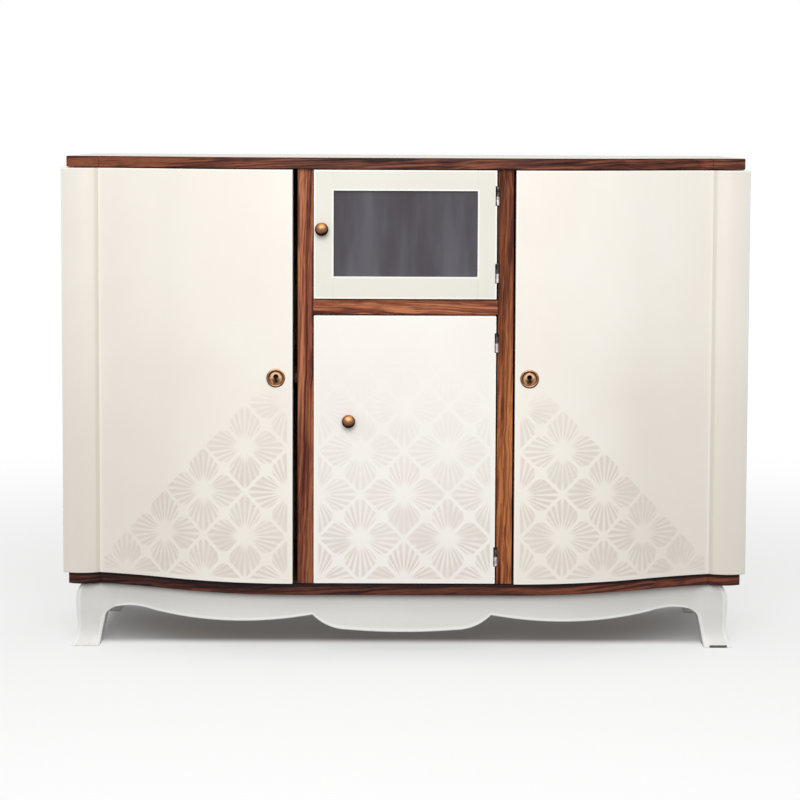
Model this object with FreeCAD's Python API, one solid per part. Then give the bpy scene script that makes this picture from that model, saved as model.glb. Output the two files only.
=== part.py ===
import FreeCAD, Part
import math
import os

os.makedirs("parts", exist_ok=True)
V = FreeCAD.Vector

# A painted bow-front sideboard on a scalloped base: two curved side doors, a small glazed door
# and a plain door between them. Millimetres, +Z up, the front faces -Y.
# Depths are given forward of the groove line, where each bowed panel meets its corner pilaster.

# Overall
door_span = 1400.0
total_height = 1008.0
side_depth = 385.0
base_height = 131.0
board = 22.0
strip_thick = 12.0
door_overhang = 10.0

# Plan curve of the front: flat centre, convex sweep, then a hollow towards the groove
bow_angle = 24.7
groove_angle = 14.9
bow_share = 0.646
pilaster_width = 75.0
pilaster_bulge = 10.0

# Carcase
side_thick = 20.0
partition_thick = 20.0
back_thick = 6.0
centre_opening = 368.0
mullion_width = 31.0
mullion_depth = 20.0
mullion_recess = 11.0
rail_height = 30.0
deck_thick = 18.0
shelf_thick = 18.0
shelf_setback = 30.0
cleat = 20.0
shelf_play = 0.5

# Side doors
door_thick = 22.0
door_proud = 8.0
door_gap = 2.0
left_free_gap = 9.5
right_free_gap = 4.0
groove_width = 3.0
groove_deep = 4.0

# Centre doors
glass_door_height = 256.0
centre_door_thick = 20.0
latch_gap = 1.5
hinge_gap = 3.0
latch_stile = 39.0
hinge_stile = 38.0
top_rail = 41.0
bottom_rail = 44.0
pane_thick = 3.0
pane_recess = 9.0
pane_rebate = 8.0
pane_play = 0.5

# Knobs
knob_radius = 13.3
knob_reach = 24.0
glass_knob_inset = 16.0
glass_knob_rise = 138.5
lower_knob_inset = 70.0
lower_knob_drop = 210.0

# Locks
escutcheon_radius = 19.0
escutcheon_proud = 2.5
escutcheon_rim = 4.5
escutcheon_dish = 1.2
left_key_inset = 33.0
right_key_inset = 28.5
key_head_radius = 4.5
key_head_rise = 3.0
key_slot_width = 4.6
key_slot_drop = 8.5
lock_length = 58.0
lock_height = 62.0
lock_thick = 14.0
lock_sink = 3.0
lock_drop = 24.0
bolt_thick = 6.0
bolt_height = 12.0
bolt_length = 38.0
bolt_travel = 13.0
bolt_rise = 16.0
slide_play = 0.3
keep_thick = 1.5
keep_rim = 4.0

# Hinges
hinge_length = 38.0
barrel_radius = 4.0
pin_radius = 1.6
pin_play = 0.05
knuckle_gap = 0.3
barrel_room = 0.6
leaf_thick = 1.6
leaf_gap = 0.4
side_leaf_width = 25.0
side_axis_inset = 2.0
edge_leaf_thick = 1.2
edge_leaf_width = 13.0
side_hinge_offset = 94.0
glass_hinge_offset = 51.0
lower_hinge_offset = 54.0
screw_radius = 1.4
screw_head_radius = 2.6
screw_length = 9.0
screw_play = 0.05
screw_spacing = 24.0

# Magnetic catches
magnet_height = 36.0
magnet_width = 14.0
magnet_depth = 22.0
magnet_air = 0.6
plate_thick = 1.5

# Base
base_offset = -5.3
apron_thick = 20.0
apron_setback = 16.0
base_inset = 18.0
foot_front_setback = 6.0
foot_width = 59.5
foot_toe = 10.0
foot_waist = 3.0
foot_shoulder = 22.0
foot_front_shoulder = 6.0
shoulder_drop = 36.0
foot_wing = 31.5
wing_height = 81.0
arch_height = 85.0
scallop_low = 72.0
cusp_height = 87.0
lobe_half = 180.0
lobe_low = 52.0
lobe_knee = 56.5
lobe_end = 69.0
back_foot_depth = 60.0
glue_block = 34.0
glue_block_length = 60.0

# Heights that follow
floor_top = base_height + board
ceiling = total_height - board
door_bottom = floor_top + door_gap
door_top = ceiling - door_gap
glass_door_bottom = door_top - glass_door_height
rail_top = glass_door_bottom - door_gap
rail_bottom = rail_top - rail_height
lower_door_top = rail_bottom - door_gap
deck_bottom = rail_top - deck_thick
key_height = (door_bottom + door_top) / 2
bay_shelf_height = (floor_top + ceiling - shelf_thick) / 2
centre_shelf_height = (floor_top + deck_bottom - shelf_thick) / 2
glass_knob_height = glass_door_bottom + glass_knob_rise
lower_knob_height = lower_door_top - lower_knob_drop

# Widths that follow
door_edge = door_span / 2
side_face = door_edge - door_overhang
side_inner = side_face - side_thick
groove_x = door_edge - pilaster_width
mullion_inner = centre_opening / 2
flat_half = mullion_inner + mullion_width
partition_inner = mullion_inner + (mullion_width - partition_thick) / 2
partition_outer = partition_inner + partition_thick
left_free_edge = flat_half + left_free_gap
right_free_edge = flat_half + right_free_gap

# The two tangent arcs of the plan curve
sweep = math.radians(bow_angle)
hollow = math.radians(groove_angle)
inflection_x = flat_half + bow_share * (groove_x - flat_half)
convex_radius = (inflection_x - flat_half) / math.sin(sweep)
hollow_radius = (groove_x - inflection_x) / (math.sin(sweep) - math.sin(hollow))
hollow_rise = hollow_radius * (math.cos(hollow) - math.cos(sweep))
bow_rise = hollow_rise + convex_radius * (1 - math.cos(sweep))

# Depths that follow, forward of the groove line
mullion_face = bow_rise - mullion_recess
mullion_back = mullion_face - mullion_depth
centre_door_face = bow_rise
centre_door_back = centre_door_face - centre_door_thick
pilaster_back = door_proud - door_thick
side_front = pilaster_back - door_gap
side_axis_depth = (pilaster_back + side_front) / 2
side_axis_x = door_edge - side_axis_inset
centre_axis_x = mullion_inner - hinge_gap / 2
centre_axis_depth = mullion_face + barrel_radius + barrel_room
pane_face = centre_door_face - pane_recess
bead_face = pane_face - pane_thick

# The whole is centred front to back, knobs included
total_depth = side_depth + centre_door_face + knob_reach
groove_y = total_depth / 2 - side_depth
carcase_back = back_thick - side_depth


def point(x, depth, z=0.0):
    """Point at a width, a depth forward of the groove line and a height."""
    return V(x, groove_y - depth, z)


def block(x_range, depth_range, z_range):
    """Square-edged block between two widths, two depths and two heights."""
    x_low, x_high = min(x_range), max(x_range)
    back, front = min(depth_range), max(depth_range)
    z_low, z_high = min(z_range), max(z_range)
    return Part.makeBox(x_high - x_low, front - back, z_high - z_low, point(x_low, front, z_low))


def post(radius, x, depth, z_low, z_high):
    """Upright cylinder."""
    return Part.makeCylinder(radius, z_high - z_low, point(x, depth, z_low))


def peg(radius, x, z, back, front):
    """Cylinder that points forward."""
    return Part.makeCylinder(radius, front - back, point(x, back, z), V(0, -1, 0))


def mirrored(shape):
    """The same shape on the other side of the middle."""
    return shape.mirror(V(0, 0, 0), V(1, 0, 0))


def joined(shapes):
    """Shapes fused into one solid."""
    whole = shapes[0].multiFuse(shapes[1:])
    return whole.removeSplitter()


def save(name, *solids):
    """Write one node, a single solid or a group of separate ones."""
    shape = solids[0] if len(solids) == 1 else Part.makeCompound(list(solids))
    shape.exportStep("parts/" + name + ".step")


def bow_depth(x):
    """Depth of the plan curve at a width, forward of the groove line."""
    width = abs(x)
    if width <= flat_half:
        return bow_rise
    if width <= inflection_x:
        run = width - flat_half
        return bow_rise - convex_radius + math.sqrt(convex_radius ** 2 - run ** 2)
    run = groove_x + hollow_radius * math.sin(hollow) - width
    return hollow_radius * math.cos(hollow) - math.sqrt(hollow_radius ** 2 - run ** 2)


def outlined_face(runs):
    """Face inside a closed outline, given as straight runs of two points or arcs of three."""
    edges = []
    for run in runs:
        curve = Part.LineSegment(*run) if len(run) == 2 else Part.Arc(*run)
        edges.append(curve.toShape())
    return Part.Face(Part.Wire(edges))


def outline(runs, direction):
    """Solid from such an outline, drawn out along a direction."""
    return outlined_face(runs).extrude(direction)


def bow_prism(forward, z_range):
    """Everything behind the plan curve moved forward by a distance, between two heights."""
    low, high = z_range

    def on_curve(x):
        return point(x, bow_depth(x) + forward, low)

    def sweep_run(x_start, x_end):
        return [on_curve(x_start), on_curve((x_start + x_end) / 2), on_curve(x_end)]

    corners = [
        on_curve(groove_x),
        point(door_edge, forward, low),
        point(door_edge, carcase_back, low),
        point(-door_edge, carcase_back, low),
        point(-door_edge, forward, low),
        on_curve(-groove_x),
    ]
    runs = [
        sweep_run(-groove_x, -inflection_x),
        sweep_run(-inflection_x, -flat_half),
        [on_curve(-flat_half), on_curve(flat_half)],
        sweep_run(flat_half, inflection_x),
        sweep_run(inflection_x, groove_x),
    ]
    runs += [[start, end] for start, end in zip(corners, corners[1:])]
    return outline(runs, V(0, 0, high - low))


def corner_prism(forward, back, outer, z_range):
    """Convex corner piece from the groove to an outer edge, between two heights."""
    low, high = z_range
    inner_front = point(groove_x, forward, low)
    apex = point((groove_x + outer) / 2, forward + pilaster_bulge, low)
    outer_front = point(outer, forward, low)
    outer_back = point(outer, back, low)
    inner_back = point(groove_x, back, low)
    runs = [
        [inner_front, apex, outer_front],
        [outer_front, outer_back],
        [outer_back, inner_back],
        [inner_back, inner_front],
    ]
    return outline(runs, V(0, 0, high - low))


def screw(place, inward):
    """Countersunk wood screw whose head is flush at a place and whose shank runs inward."""
    cone_length = screw_head_radius - screw_radius
    cone = Part.makeCone(screw_head_radius, screw_radius, cone_length, place, inward)
    shank = Part.makeCylinder(screw_radius, screw_length, place, inward)
    return joined([cone, shank])


def screw_hole(place, inward):
    """Room for that screw in a leaf and in the wood."""
    cone_length = screw_head_radius - screw_radius
    head = screw_head_radius + screw_play
    shank = screw_radius + screw_play
    cone = Part.makeCone(head, shank, cone_length, place, inward)
    hole = Part.makeCylinder(shank, screw_length + screw_play, place, inward)
    return joined([cone, hole])


def drilled(shape, places, inward):
    """A piece with a screw hole at each place."""
    holes = [screw_hole(place, inward) for place in places]
    return shape.cut(Part.makeCompound(holes))


def knuckles(axis_x, axis_depth, height, plate, outer):
    """Hinge leaf: its plate with either the two outer knuckles or the middle one, bored for the pin."""
    low = height - hinge_length / 2
    third = hinge_length / 3
    levels = [low, low + third, low + 2 * third, low + 3 * third]
    own = [0, 2] if outer else [1]
    shape = plate
    for index in range(3):
        if index not in own:
            room = post(
                barrel_radius + knuckle_gap, axis_x, axis_depth,
                levels[index] - knuckle_gap, levels[index + 1] + knuckle_gap,
            )
            shape = shape.cut(room)
    barrels = [shape]
    for index in own:
        start = levels[index] if outer else levels[index] + knuckle_gap
        end = levels[index + 1] if outer else levels[index + 1] - knuckle_gap
        barrels.append(post(barrel_radius, axis_x, axis_depth, start, end))
    bore = post(pin_radius + pin_play, axis_x, axis_depth, low, low + hinge_length)
    return joined(barrels).cut(bore)


def hinge_pin(axis_x, axis_depth, height):
    """Loose steel pin of a butt hinge."""
    half = hinge_length / 2
    return post(pin_radius, axis_x, axis_depth, height - half, height + half)


# Base: shaped corner feet, a scalloped front apron, plain side and back aprons
side_belly = side_face - base_inset
front_belly = -foot_front_setback
belly_height = base_height - shoulder_drop
wing_x = side_belly + foot_toe - foot_width - foot_wing
quarter = 1 - math.sqrt(0.5)


def on_base(shape):
    """A base piece, moved to where the base stands under the carcase."""
    return shape.translated(V(base_offset, 0, 0))


def shoulder_runs(place, belly, shoulder):
    """Rounded shoulder from the underside of the carcase out to the belly."""
    top = place(belly - shoulder, base_height)
    middle = place(belly - quarter * shoulder, base_height - quarter * shoulder_drop)
    return [[top, middle, place(belly, belly_height)]]


def foot_runs(place, belly, shoulder):
    """Outline of a foot: shoulder, belly, waist and toe outside, a bracket curve up to its wing inside."""
    toe = belly + foot_toe
    heel = toe - foot_width
    wing = heel - foot_wing
    knee = place(heel - foot_wing / 3, 0.74 * wing_height)
    runs = shoulder_runs(place, belly, shoulder)
    runs.append([place(belly, belly_height), place(belly - foot_waist, belly_height / 2), place(toe, 0)])
    runs.append([place(toe, 0), place(heel, 0)])
    runs.append([place(heel, 0), place(heel - 0.13 * foot_wing, 0.36 * wing_height), knee])
    runs.append([knee, place(heel - 0.6 * foot_wing, 0.9 * wing_height), place(wing, wing_height)])
    runs.append([place(wing, wing_height), place(wing, base_height)])
    runs.append([place(wing, base_height), place(belly - shoulder, base_height)])
    return runs


def seen_from_front(x, z):
    """Place on the front drawing plane."""
    return point(x, side_depth, z)


def seen_from_side(depth, z):
    """Place on the side drawing plane."""
    return point(0, depth, z)


foot_front_view = outline(foot_runs(seen_from_front, side_belly, foot_shoulder), V(0, 2 * side_depth, 0))
foot_side_view = outline(foot_runs(seen_from_side, front_belly, foot_front_shoulder), V(door_edge, 0, 0))
front_foot = foot_front_view.common(foot_side_view)
save("front_foot_right", on_base(front_foot))
save("front_foot_left", on_base(mirrored(front_foot)))

back_foot_front = carcase_back + back_foot_depth
back_foot_slab = block((0, door_edge), (carcase_back, back_foot_front), (0, base_height))
back_foot = foot_front_view.common(back_foot_slab)
save("back_feet", on_base(back_foot), on_base(mirrored(back_foot)))

front_foot_wing = front_belly + foot_toe - foot_width - foot_wing
side_apron_inner = side_belly - foot_shoulder - apron_thick


def from_back_foot(x, z):
    """Place on the front face of the back foot."""
    return point(x, back_foot_front, z)


side_apron_corners = [
    from_back_foot(side_belly, belly_height),
    from_back_foot(side_belly - foot_waist, arch_height),
    from_back_foot(side_apron_inner, arch_height),
    from_back_foot(side_apron_inner, base_height),
    from_back_foot(side_belly - foot_shoulder, base_height),
]
side_apron_runs = shoulder_runs(from_back_foot, side_belly, foot_shoulder)
side_apron_runs += [[start, end] for start, end in zip(side_apron_corners, side_apron_corners[1:])]
side_apron = outline(side_apron_runs, V(0, back_foot_front - front_foot_wing, 0))
save("side_aprons", on_base(side_apron), on_base(mirrored(side_apron)))

back_apron_depth = (carcase_back, carcase_back + apron_thick)
back_apron = block((-wing_x, wing_x), back_apron_depth, (arch_height, base_height))
save("back_apron", on_base(back_apron))


def apron_edge(side):
    """Lower edge of half the apron, from the foot to the middle: hump, shallow dip, cusp and centre lobe."""
    def at(x, z):
        return seen_from_front(side * x, z)

    hump_end = wing_x - 0.21 * (wing_x - lobe_half)
    hump_low = (arch_height + scallop_low) / 2 + 1
    dip_x = (wing_x + lobe_half) / 2 + 0.07 * (wing_x - lobe_half)
    end_x = 0.87 * lobe_half
    knee_x = 0.61 * lobe_half
    return [
        [at(wing_x, wing_height), at((wing_x + hump_end) / 2 + 8, arch_height), at(hump_end, hump_low)],
        [at(hump_end, hump_low), at(dip_x, scallop_low), at(lobe_half, cusp_height)],
        [at(lobe_half, cusp_height), at(end_x, lobe_end), at(knee_x, lobe_knee)],
    ]


knee_right = apron_edge(1)[2][2]
knee_left = apron_edge(-1)[2][2]
apron_runs = apron_edge(1)
apron_runs.append([knee_right, seen_from_front(0, lobe_low), knee_left])
for run in reversed(apron_edge(-1)):
    apron_runs.append(list(reversed(run)))
apron_top = [
    seen_from_front(-wing_x, wing_height),
    seen_from_front(-wing_x, base_height),
    seen_from_front(wing_x, base_height),
    seen_from_front(wing_x, wing_height),
]
apron_runs += [[start, end] for start, end in zip(apron_top, apron_top[1:])]
apron_drawing = outline(apron_runs, V(0, 2 * side_depth, 0))
base_range = (0, base_height)
behind_apron = bow_prism(-apron_setback - apron_thick, base_range)
apron_band = bow_prism(-apron_setback, base_range).cut(behind_apron)
save("front_apron", on_base(apron_band.common(apron_drawing)))

glue_blocks = []
for share in (-0.66, -0.25, 0.25, 0.66):
    middle = share * wing_x
    depth = bow_depth(middle) - apron_setback - apron_thick
    rough = block(
        (middle - glue_block_length / 2, middle + glue_block_length / 2),
        (depth - glue_block, depth + glue_block),
        (base_height - glue_block, base_height),
    )
    glue_blocks.append(rough.common(behind_apron))
save("glue_blocks", *[on_base(piece) for piece in glue_blocks])


# Carcase boards with their dark edge strips
def edged_board(name, z_low):
    """A board, its bowed edge strip and its two corner strips."""
    z_range = (z_low, z_low + board)
    core = bow_prism(-strip_thick, z_range)
    across = block((-side_face, side_face), (carcase_back, bow_rise), z_range)
    between = block((-groove_x, groove_x), (-strip_thick, bow_rise), z_range)
    save(name + "_board", core.common(across))
    save(name + "_strip_bow", bow_prism(0, z_range).cut(core).common(between))
    corner = corner_prism(0, -strip_thick, side_face, z_range)
    save(name + "_strip_corners", corner, mirrored(corner))


edged_board("bottom", base_height)
edged_board("top", ceiling)
save("back_panel", block((-side_face, side_face), (-side_depth, carcase_back), (base_height, total_height)))

wall_range = (floor_top, ceiling)
partition = block((partition_inner, partition_outer), (carcase_back, mullion_back), wall_range)
save("partition_right", partition)
save("partition_left", mirrored(partition))
rail_range = (rail_bottom, rail_top)
save("cross_rail", block((-mullion_inner, mullion_inner), (mullion_back, mullion_face), rail_range))
deck_range = (deck_bottom, rail_top)
save("glass_deck", block((-partition_inner, partition_inner), (carcase_back, mullion_back), deck_range))


# Shelves on cleats
def shelf_on_cleats(x_range, front, height):
    """A loose shelf between two walls and the two cleats that carry it."""
    left, right = x_range
    depth_range = (carcase_back, front)
    shelf = block((left + shelf_play, right - shelf_play), depth_range, (height, height + shelf_thick))
    cleat_range = (height - cleat, height)
    left_cleat = block((left, left + cleat), depth_range, cleat_range)
    right_cleat = block((right - cleat, right), depth_range, cleat_range)
    return shelf, [left_cleat, right_cleat]


bay_shelf_front = side_front - shelf_setback
centre_shelf_front = mullion_back - shelf_setback
shelf_right, right_cleats = shelf_on_cleats((partition_outer, side_inner), bay_shelf_front, bay_shelf_height)
shelf_left, left_cleats = shelf_on_cleats((-side_inner, -partition_outer), bay_shelf_front, bay_shelf_height)
shelf_centre, centre_cleats = shelf_on_cleats(
    (-partition_inner, partition_inner), centre_shelf_front, centre_shelf_height)
save("shelf_right", shelf_right)
save("shelf_left", shelf_left)
save("shelf_centre", shelf_centre)
save("shelf_cleats", *right_cleats, *left_cleats, *centre_cleats)

# Hinges of the side doors: leaves let into the back of the pilaster and the front of the side panel
side_hinge_heights = (door_bottom + side_hinge_offset, door_top - side_hinge_offset)
side_leaf_x = (side_axis_x - side_leaf_width, side_axis_x)
side_screw_x = side_axis_x - 0.6 * side_leaf_width
half_hinge = hinge_length / 2
screw_offsets = (-screw_spacing / 2, screw_spacing / 2)
forward = V(0, -1, 0)
backward = V(0, 1, 0)

pilaster = corner_prism(door_proud, pilaster_back, door_edge, (door_bottom, door_top))
side_panel = block((side_inner, side_face), (carcase_back, side_front), wall_range)
side_door_leaves = []
side_frame_leaves = []
side_door_screws = []
side_frame_screws = []
side_pins = []
for height in side_hinge_heights:
    z_range = (height - half_hinge, height + half_hinge)
    door_face = side_axis_depth + leaf_gap / 2
    frame_face = side_axis_depth - leaf_gap / 2
    door_plate = block(side_leaf_x, (door_face, door_face + leaf_thick), z_range)
    frame_plate = block(side_leaf_x, (frame_face - leaf_thick, frame_face), z_range)
    barrel_x = (side_axis_x - barrel_radius - barrel_room, door_edge)
    barrel_depth = (pilaster_back, side_axis_depth + barrel_radius + barrel_room)
    barrel_z = (height - half_hinge - barrel_room, height + half_hinge + barrel_room)
    pilaster = pilaster.cut(block(barrel_x, barrel_depth, barrel_z)).cut(door_plate)
    side_panel = side_panel.cut(frame_plate)
    door_places = [point(side_screw_x, door_face, height + offset) for offset in screw_offsets]
    frame_places = [point(side_screw_x, frame_face, height + offset) for offset in screw_offsets]
    pilaster = drilled(pilaster, door_places, forward)
    side_panel = drilled(side_panel, frame_places, backward)
    door_leaf = knuckles(side_axis_x, side_axis_depth, height, door_plate, False)
    frame_leaf = knuckles(side_axis_x, side_axis_depth, height, frame_plate, True)
    side_door_leaves.append(drilled(door_leaf, door_places, forward))
    side_frame_leaves.append(drilled(frame_leaf, frame_places, backward))
    side_door_screws += [screw(place, forward) for place in door_places]
    side_frame_screws += [screw(place, backward) for place in frame_places]
    side_pins.append(hinge_pin(side_axis_x, side_axis_depth, height))

groove = block(
    (groove_x - groove_width / 2, groove_x + groove_width / 2),
    (door_proud - groove_deep, bow_rise),
    (door_bottom, door_top),
)
pilaster = pilaster.cut(groove)
save("side_panel_right", side_panel)
save("side_panel_left", mirrored(side_panel))

# Bowed door panels
door_range = (door_bottom, door_top)
bowed_sheet = bow_prism(door_proud, door_range).cut(bow_prism(door_proud - door_thick, door_range))
sheet_depth = (pilaster_back, bow_rise + door_proud)
sheet_back = bow_rise + door_proud - door_thick
lock_front = sheet_back + lock_sink
lock_back = lock_front - lock_thick
lock_bottom = key_height - lock_drop
bolt_back = lock_back + (lock_thick - bolt_thick) / 3
bolt_depth = (bolt_back, bolt_back + bolt_thick)
bolt_low = key_height + bolt_rise - bolt_height / 2
bolt_range = (bolt_low, bolt_low + bolt_height)
keep_depth = (bolt_depth[0] - keep_rim, bolt_depth[1] + keep_rim)
keep_range = (bolt_range[0] - keep_rim, bolt_range[1] + keep_rim)
bolt_room_depth = (bolt_depth[0] - slide_play, bolt_depth[1] + slide_play)
bolt_room_range = (bolt_range[0] - slide_play, bolt_range[1] + slide_play)
plain_mullion = block((mullion_inner, flat_half), (mullion_back, mullion_face), wall_range)


def keyhole(x, back, front):
    """Round head over a narrow slot, cut from front to back."""
    head_height = key_height + key_head_rise
    head = peg(key_head_radius, x, head_height, back, front)
    half_slot = key_slot_width / 2
    slot = block((x - half_slot, x + half_slot), (back, front), (key_height - key_slot_drop, head_height))
    return joined([head, slot])


def locked_door(free_edge, key_inset):
    """Door panel, escutcheon, lock case, bolt, keep and mullion of the right-hand side."""
    key_x = free_edge + key_inset
    lock_x = (free_edge, free_edge + lock_length)
    bolt_x = (free_edge, free_edge + bolt_length)
    case_block = block(lock_x, (lock_back, lock_front), (lock_bottom, lock_bottom + lock_height))
    key_hole = keyhole(key_x, lock_front - lock_thick / 2, bow_rise + 2 * door_thick)

    panel = bowed_sheet.common(block((free_edge, groove_x), sheet_depth, door_range))
    panel = panel.cut(groove).cut(case_block).cut(key_hole)

    plate_front = bow_depth(key_x) + door_proud + escutcheon_proud
    plate = peg(escutcheon_radius, key_x, key_height, lock_front, plate_front)
    dish_radius = escutcheon_radius - escutcheon_rim
    dish = peg(dish_radius, key_x, key_height, plate_front - escutcheon_dish, plate_front + escutcheon_dish)
    plate = plate.cut(bow_prism(door_proud, door_range)).cut(dish).cut(key_hole)

    channel_x = (free_edge, free_edge + bolt_length + slide_play)
    channel = block(channel_x, bolt_room_depth, bolt_room_range)
    case = case_block.cut(channel).cut(key_hole)
    bolt = block(bolt_x, bolt_depth, bolt_range)

    mortise_x = (free_edge - bolt_travel - slide_play, flat_half)
    mortise = block(mortise_x, bolt_room_depth, bolt_room_range)
    keep_block = block((flat_half - keep_thick, flat_half), keep_depth, keep_range)
    return panel, plate, case, bolt, keep_block.cut(mortise), plain_mullion.cut(mortise).cut(keep_block)


def save_side_door(side, pieces, turn):
    """Write one side door's nodes, turned to its own side."""
    panel, plate, case, bolt = pieces[:4]
    save(side + "_door_panel", turn(panel))
    save(side + "_door_pilaster", turn(pilaster))
    save(side + "_escutcheon", turn(plate))
    save(side + "_lock_case", turn(case))
    save(side + "_lock_bolt", turn(bolt))
    save(side + "_hinge_leaves", *[turn(leaf) for leaf in side_door_leaves])
    save(side + "_hinge_screws", *[turn(piece) for piece in side_door_screws])


def as_drawn(shape):
    """The right-hand side, as it was drawn."""
    return shape.copy()


right_pieces = locked_door(right_free_edge, right_key_inset)
left_pieces = locked_door(left_free_edge, left_key_inset)
save_side_door("right", right_pieces, as_drawn)
save_side_door("left", left_pieces, mirrored)
save("lock_keeps", right_pieces[4], mirrored(left_pieces[4]))
save("mullion_left", mirrored(left_pieces[5]))

# Hinges of the centre doors: leaves in the gap between the door's edge and the right mullion
door_left = latch_gap - mullion_inner
door_right = mullion_inner - hinge_gap
rightward = V(1, 0, 0)
leftward = V(-1, 0, 0)
edge_leaf_depth = (centre_axis_depth - edge_leaf_width, centre_axis_depth)
edge_screw_depth = centre_axis_depth - 0.65 * edge_leaf_width
mullion_screw_places = []
centre_frame_leaves = []
centre_pins = []


def hinged_edge(piece, heights):
    """Let two hinges into a centre door's right edge; returns the piece, its leaves and its screws."""
    leaves = []
    screws = []
    for height in heights:
        z_range = (height - half_hinge, height + half_hinge)
        door_face = door_right + edge_leaf_thick
        frame_face = mullion_inner - edge_leaf_thick
        notch = block(
            (centre_axis_x - barrel_radius - barrel_room, door_right),
            (centre_axis_depth - barrel_radius - barrel_room, centre_door_face),
            (z_range[0] - barrel_room, z_range[1] + barrel_room),
        )
        door_plate = block((door_right, door_face), edge_leaf_depth, z_range)
        frame_plate = block((frame_face, mullion_inner), edge_leaf_depth, z_range)
        door_places = [point(door_face, edge_screw_depth, height + offset) for offset in screw_offsets]
        frame_places = [point(frame_face, edge_screw_depth, height + offset) for offset in screw_offsets]
        piece = drilled(piece.cut(notch), door_places, leftward)
        mullion_screw_places.extend(frame_places)
        door_leaf = knuckles(centre_axis_x, centre_axis_depth, height, door_plate, False)
        frame_leaf = knuckles(centre_axis_x, centre_axis_depth, height, frame_plate, True)
        leaves.append(drilled(door_leaf, door_places, leftward))
        centre_frame_leaves.append(drilled(frame_leaf, frame_places, rightward))
        screws += [screw(place, leftward) for place in door_places]
        centre_pins.append(hinge_pin(centre_axis_x, centre_axis_depth, height))
    return piece, leaves, screws


def knob(x, z):
    """Turned knob: a small foot, a waisted neck, a round rim and a low domed face, part of a ball."""
    foot = 0.5 * knob_radius
    foot_top = 0.06 * knob_reach
    neck = 0.48 * knob_radius
    neck_top = 0.4 * knob_reach
    rim = 0.66 * knob_reach
    dome_radius = 0.84 * knob_radius
    dome_base = 0.83 * knob_reach
    dome_height = knob_reach - dome_base
    ball = (dome_radius ** 2 + dome_height ** 2) / (2 * dome_height)
    half_angle = math.asin(dome_radius / ball) / 2

    def at(radius, reach):
        return point(x + radius, centre_door_face + reach, z)

    runs = [
        [at(0, 0), at(foot, 0)],
        [at(foot, 0), at(foot, foot_top)],
        [at(foot, foot_top), at(0.36 * knob_radius, 0.2 * knob_reach), at(neck, neck_top)],
        [at(neck, neck_top), at(0.86 * knob_radius, 0.48 * knob_reach), at(knob_radius, rim)],
        [at(knob_radius, rim), at(0.96 * knob_radius, 0.77 * knob_reach), at(dome_radius, dome_base)],
        [
            at(dome_radius, dome_base),
            at(ball * math.sin(half_angle), knob_reach - ball * (1 - math.cos(half_angle))),
            at(0, knob_reach),
        ],
        [at(0, knob_reach), at(0, 0)],
    ]
    return outlined_face(runs).revolve(point(x, 0, z), V(0, 1, 0), 360)


# Glazed door: stiles run through, rails between them, the pane in a rebate behind beads
opening_x = (door_left + latch_stile, door_right - hinge_stile)
opening_z = (glass_door_bottom + bottom_rail, door_top - top_rail)
pocket_x = (opening_x[0] - pane_rebate, opening_x[1] + pane_rebate)
pocket_z = (opening_z[0] - pane_rebate, opening_z[1] + pane_rebate)
pocket = block(pocket_x, (centre_door_back, pane_face), pocket_z)
frame_depth = (centre_door_back, centre_door_face)
glass_door_range = (glass_door_bottom, door_top)
latch_stile_piece = block((door_left, opening_x[0]), frame_depth, glass_door_range).cut(pocket)
hinge_stile_piece = block((opening_x[1], door_right), frame_depth, glass_door_range).cut(pocket)
bottom_rail_piece = block(opening_x, frame_depth, (glass_door_bottom, opening_z[0])).cut(pocket)
top_rail_piece = block(opening_x, frame_depth, (opening_z[1], door_top)).cut(pocket)
glass_heights = (glass_door_bottom + glass_hinge_offset, door_top - glass_hinge_offset)
hinge_stile_piece, glass_leaves, glass_screws = hinged_edge(hinge_stile_piece, glass_heights)
save("glass_door_stiles", latch_stile_piece, hinge_stile_piece)
save("glass_door_rails", bottom_rail_piece, top_rail_piece)
save("glass_door_hinge_leaves", *glass_leaves)
save("glass_door_hinge_screws", *glass_screws)

pane_x = (pocket_x[0] + pane_play, pocket_x[1] - pane_play)
pane_z = (pocket_z[0] + pane_play, pocket_z[1] - pane_play)
save("glass_pane", block(pane_x, (bead_face, pane_face), pane_z))
bead_depth = (centre_door_back, bead_face)
save(
    "glazing_beads",
    block((pocket_x[0], opening_x[0]), bead_depth, pocket_z),
    block((opening_x[1], pocket_x[1]), bead_depth, pocket_z),
    block(opening_x, bead_depth, (pocket_z[0], opening_z[0])),
    block(opening_x, bead_depth, (opening_z[1], pocket_z[1])),
)
save("glass_door_knob", knob(door_left + glass_knob_inset, glass_knob_height))

# Lower door: one flat panel
lower_range = (door_bottom, lower_door_top)
lower_panel = block((door_left, door_right), frame_depth, lower_range)
lower_heights = (door_bottom + lower_hinge_offset, lower_door_top - lower_hinge_offset)
lower_panel, lower_leaves, lower_screws = hinged_edge(lower_panel, lower_heights)
save("lower_door_panel", lower_panel)
save("lower_door_hinge_leaves", *lower_leaves)
save("lower_door_hinge_screws", *lower_screws)
save("lower_door_knob", knob(door_left + lower_knob_inset, lower_knob_height))
save("mullion_right", drilled(right_pieces[5], mullion_screw_places, rightward))

# Magnetic catches on the left mullion, with a steel plate on the back of each centre door
plate_depth = (centre_door_back - plate_thick, centre_door_back)
magnet_front = plate_depth[0] - magnet_air
magnet_depths = (magnet_front - magnet_depth, magnet_front)
magnet_x = (-mullion_inner, magnet_width - mullion_inner)
magnets = []
for name, (low, high) in (("glass_door", glass_door_range), ("lower_door", lower_range)):
    z_range = ((low + high - magnet_height) / 2, (low + high + magnet_height) / 2)
    magnets.append(block(magnet_x, magnet_depths, z_range))
    save(name + "_catch_plate", block((door_left, magnet_x[1]), plate_depth, z_range))
save("door_catches", *magnets)

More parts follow.
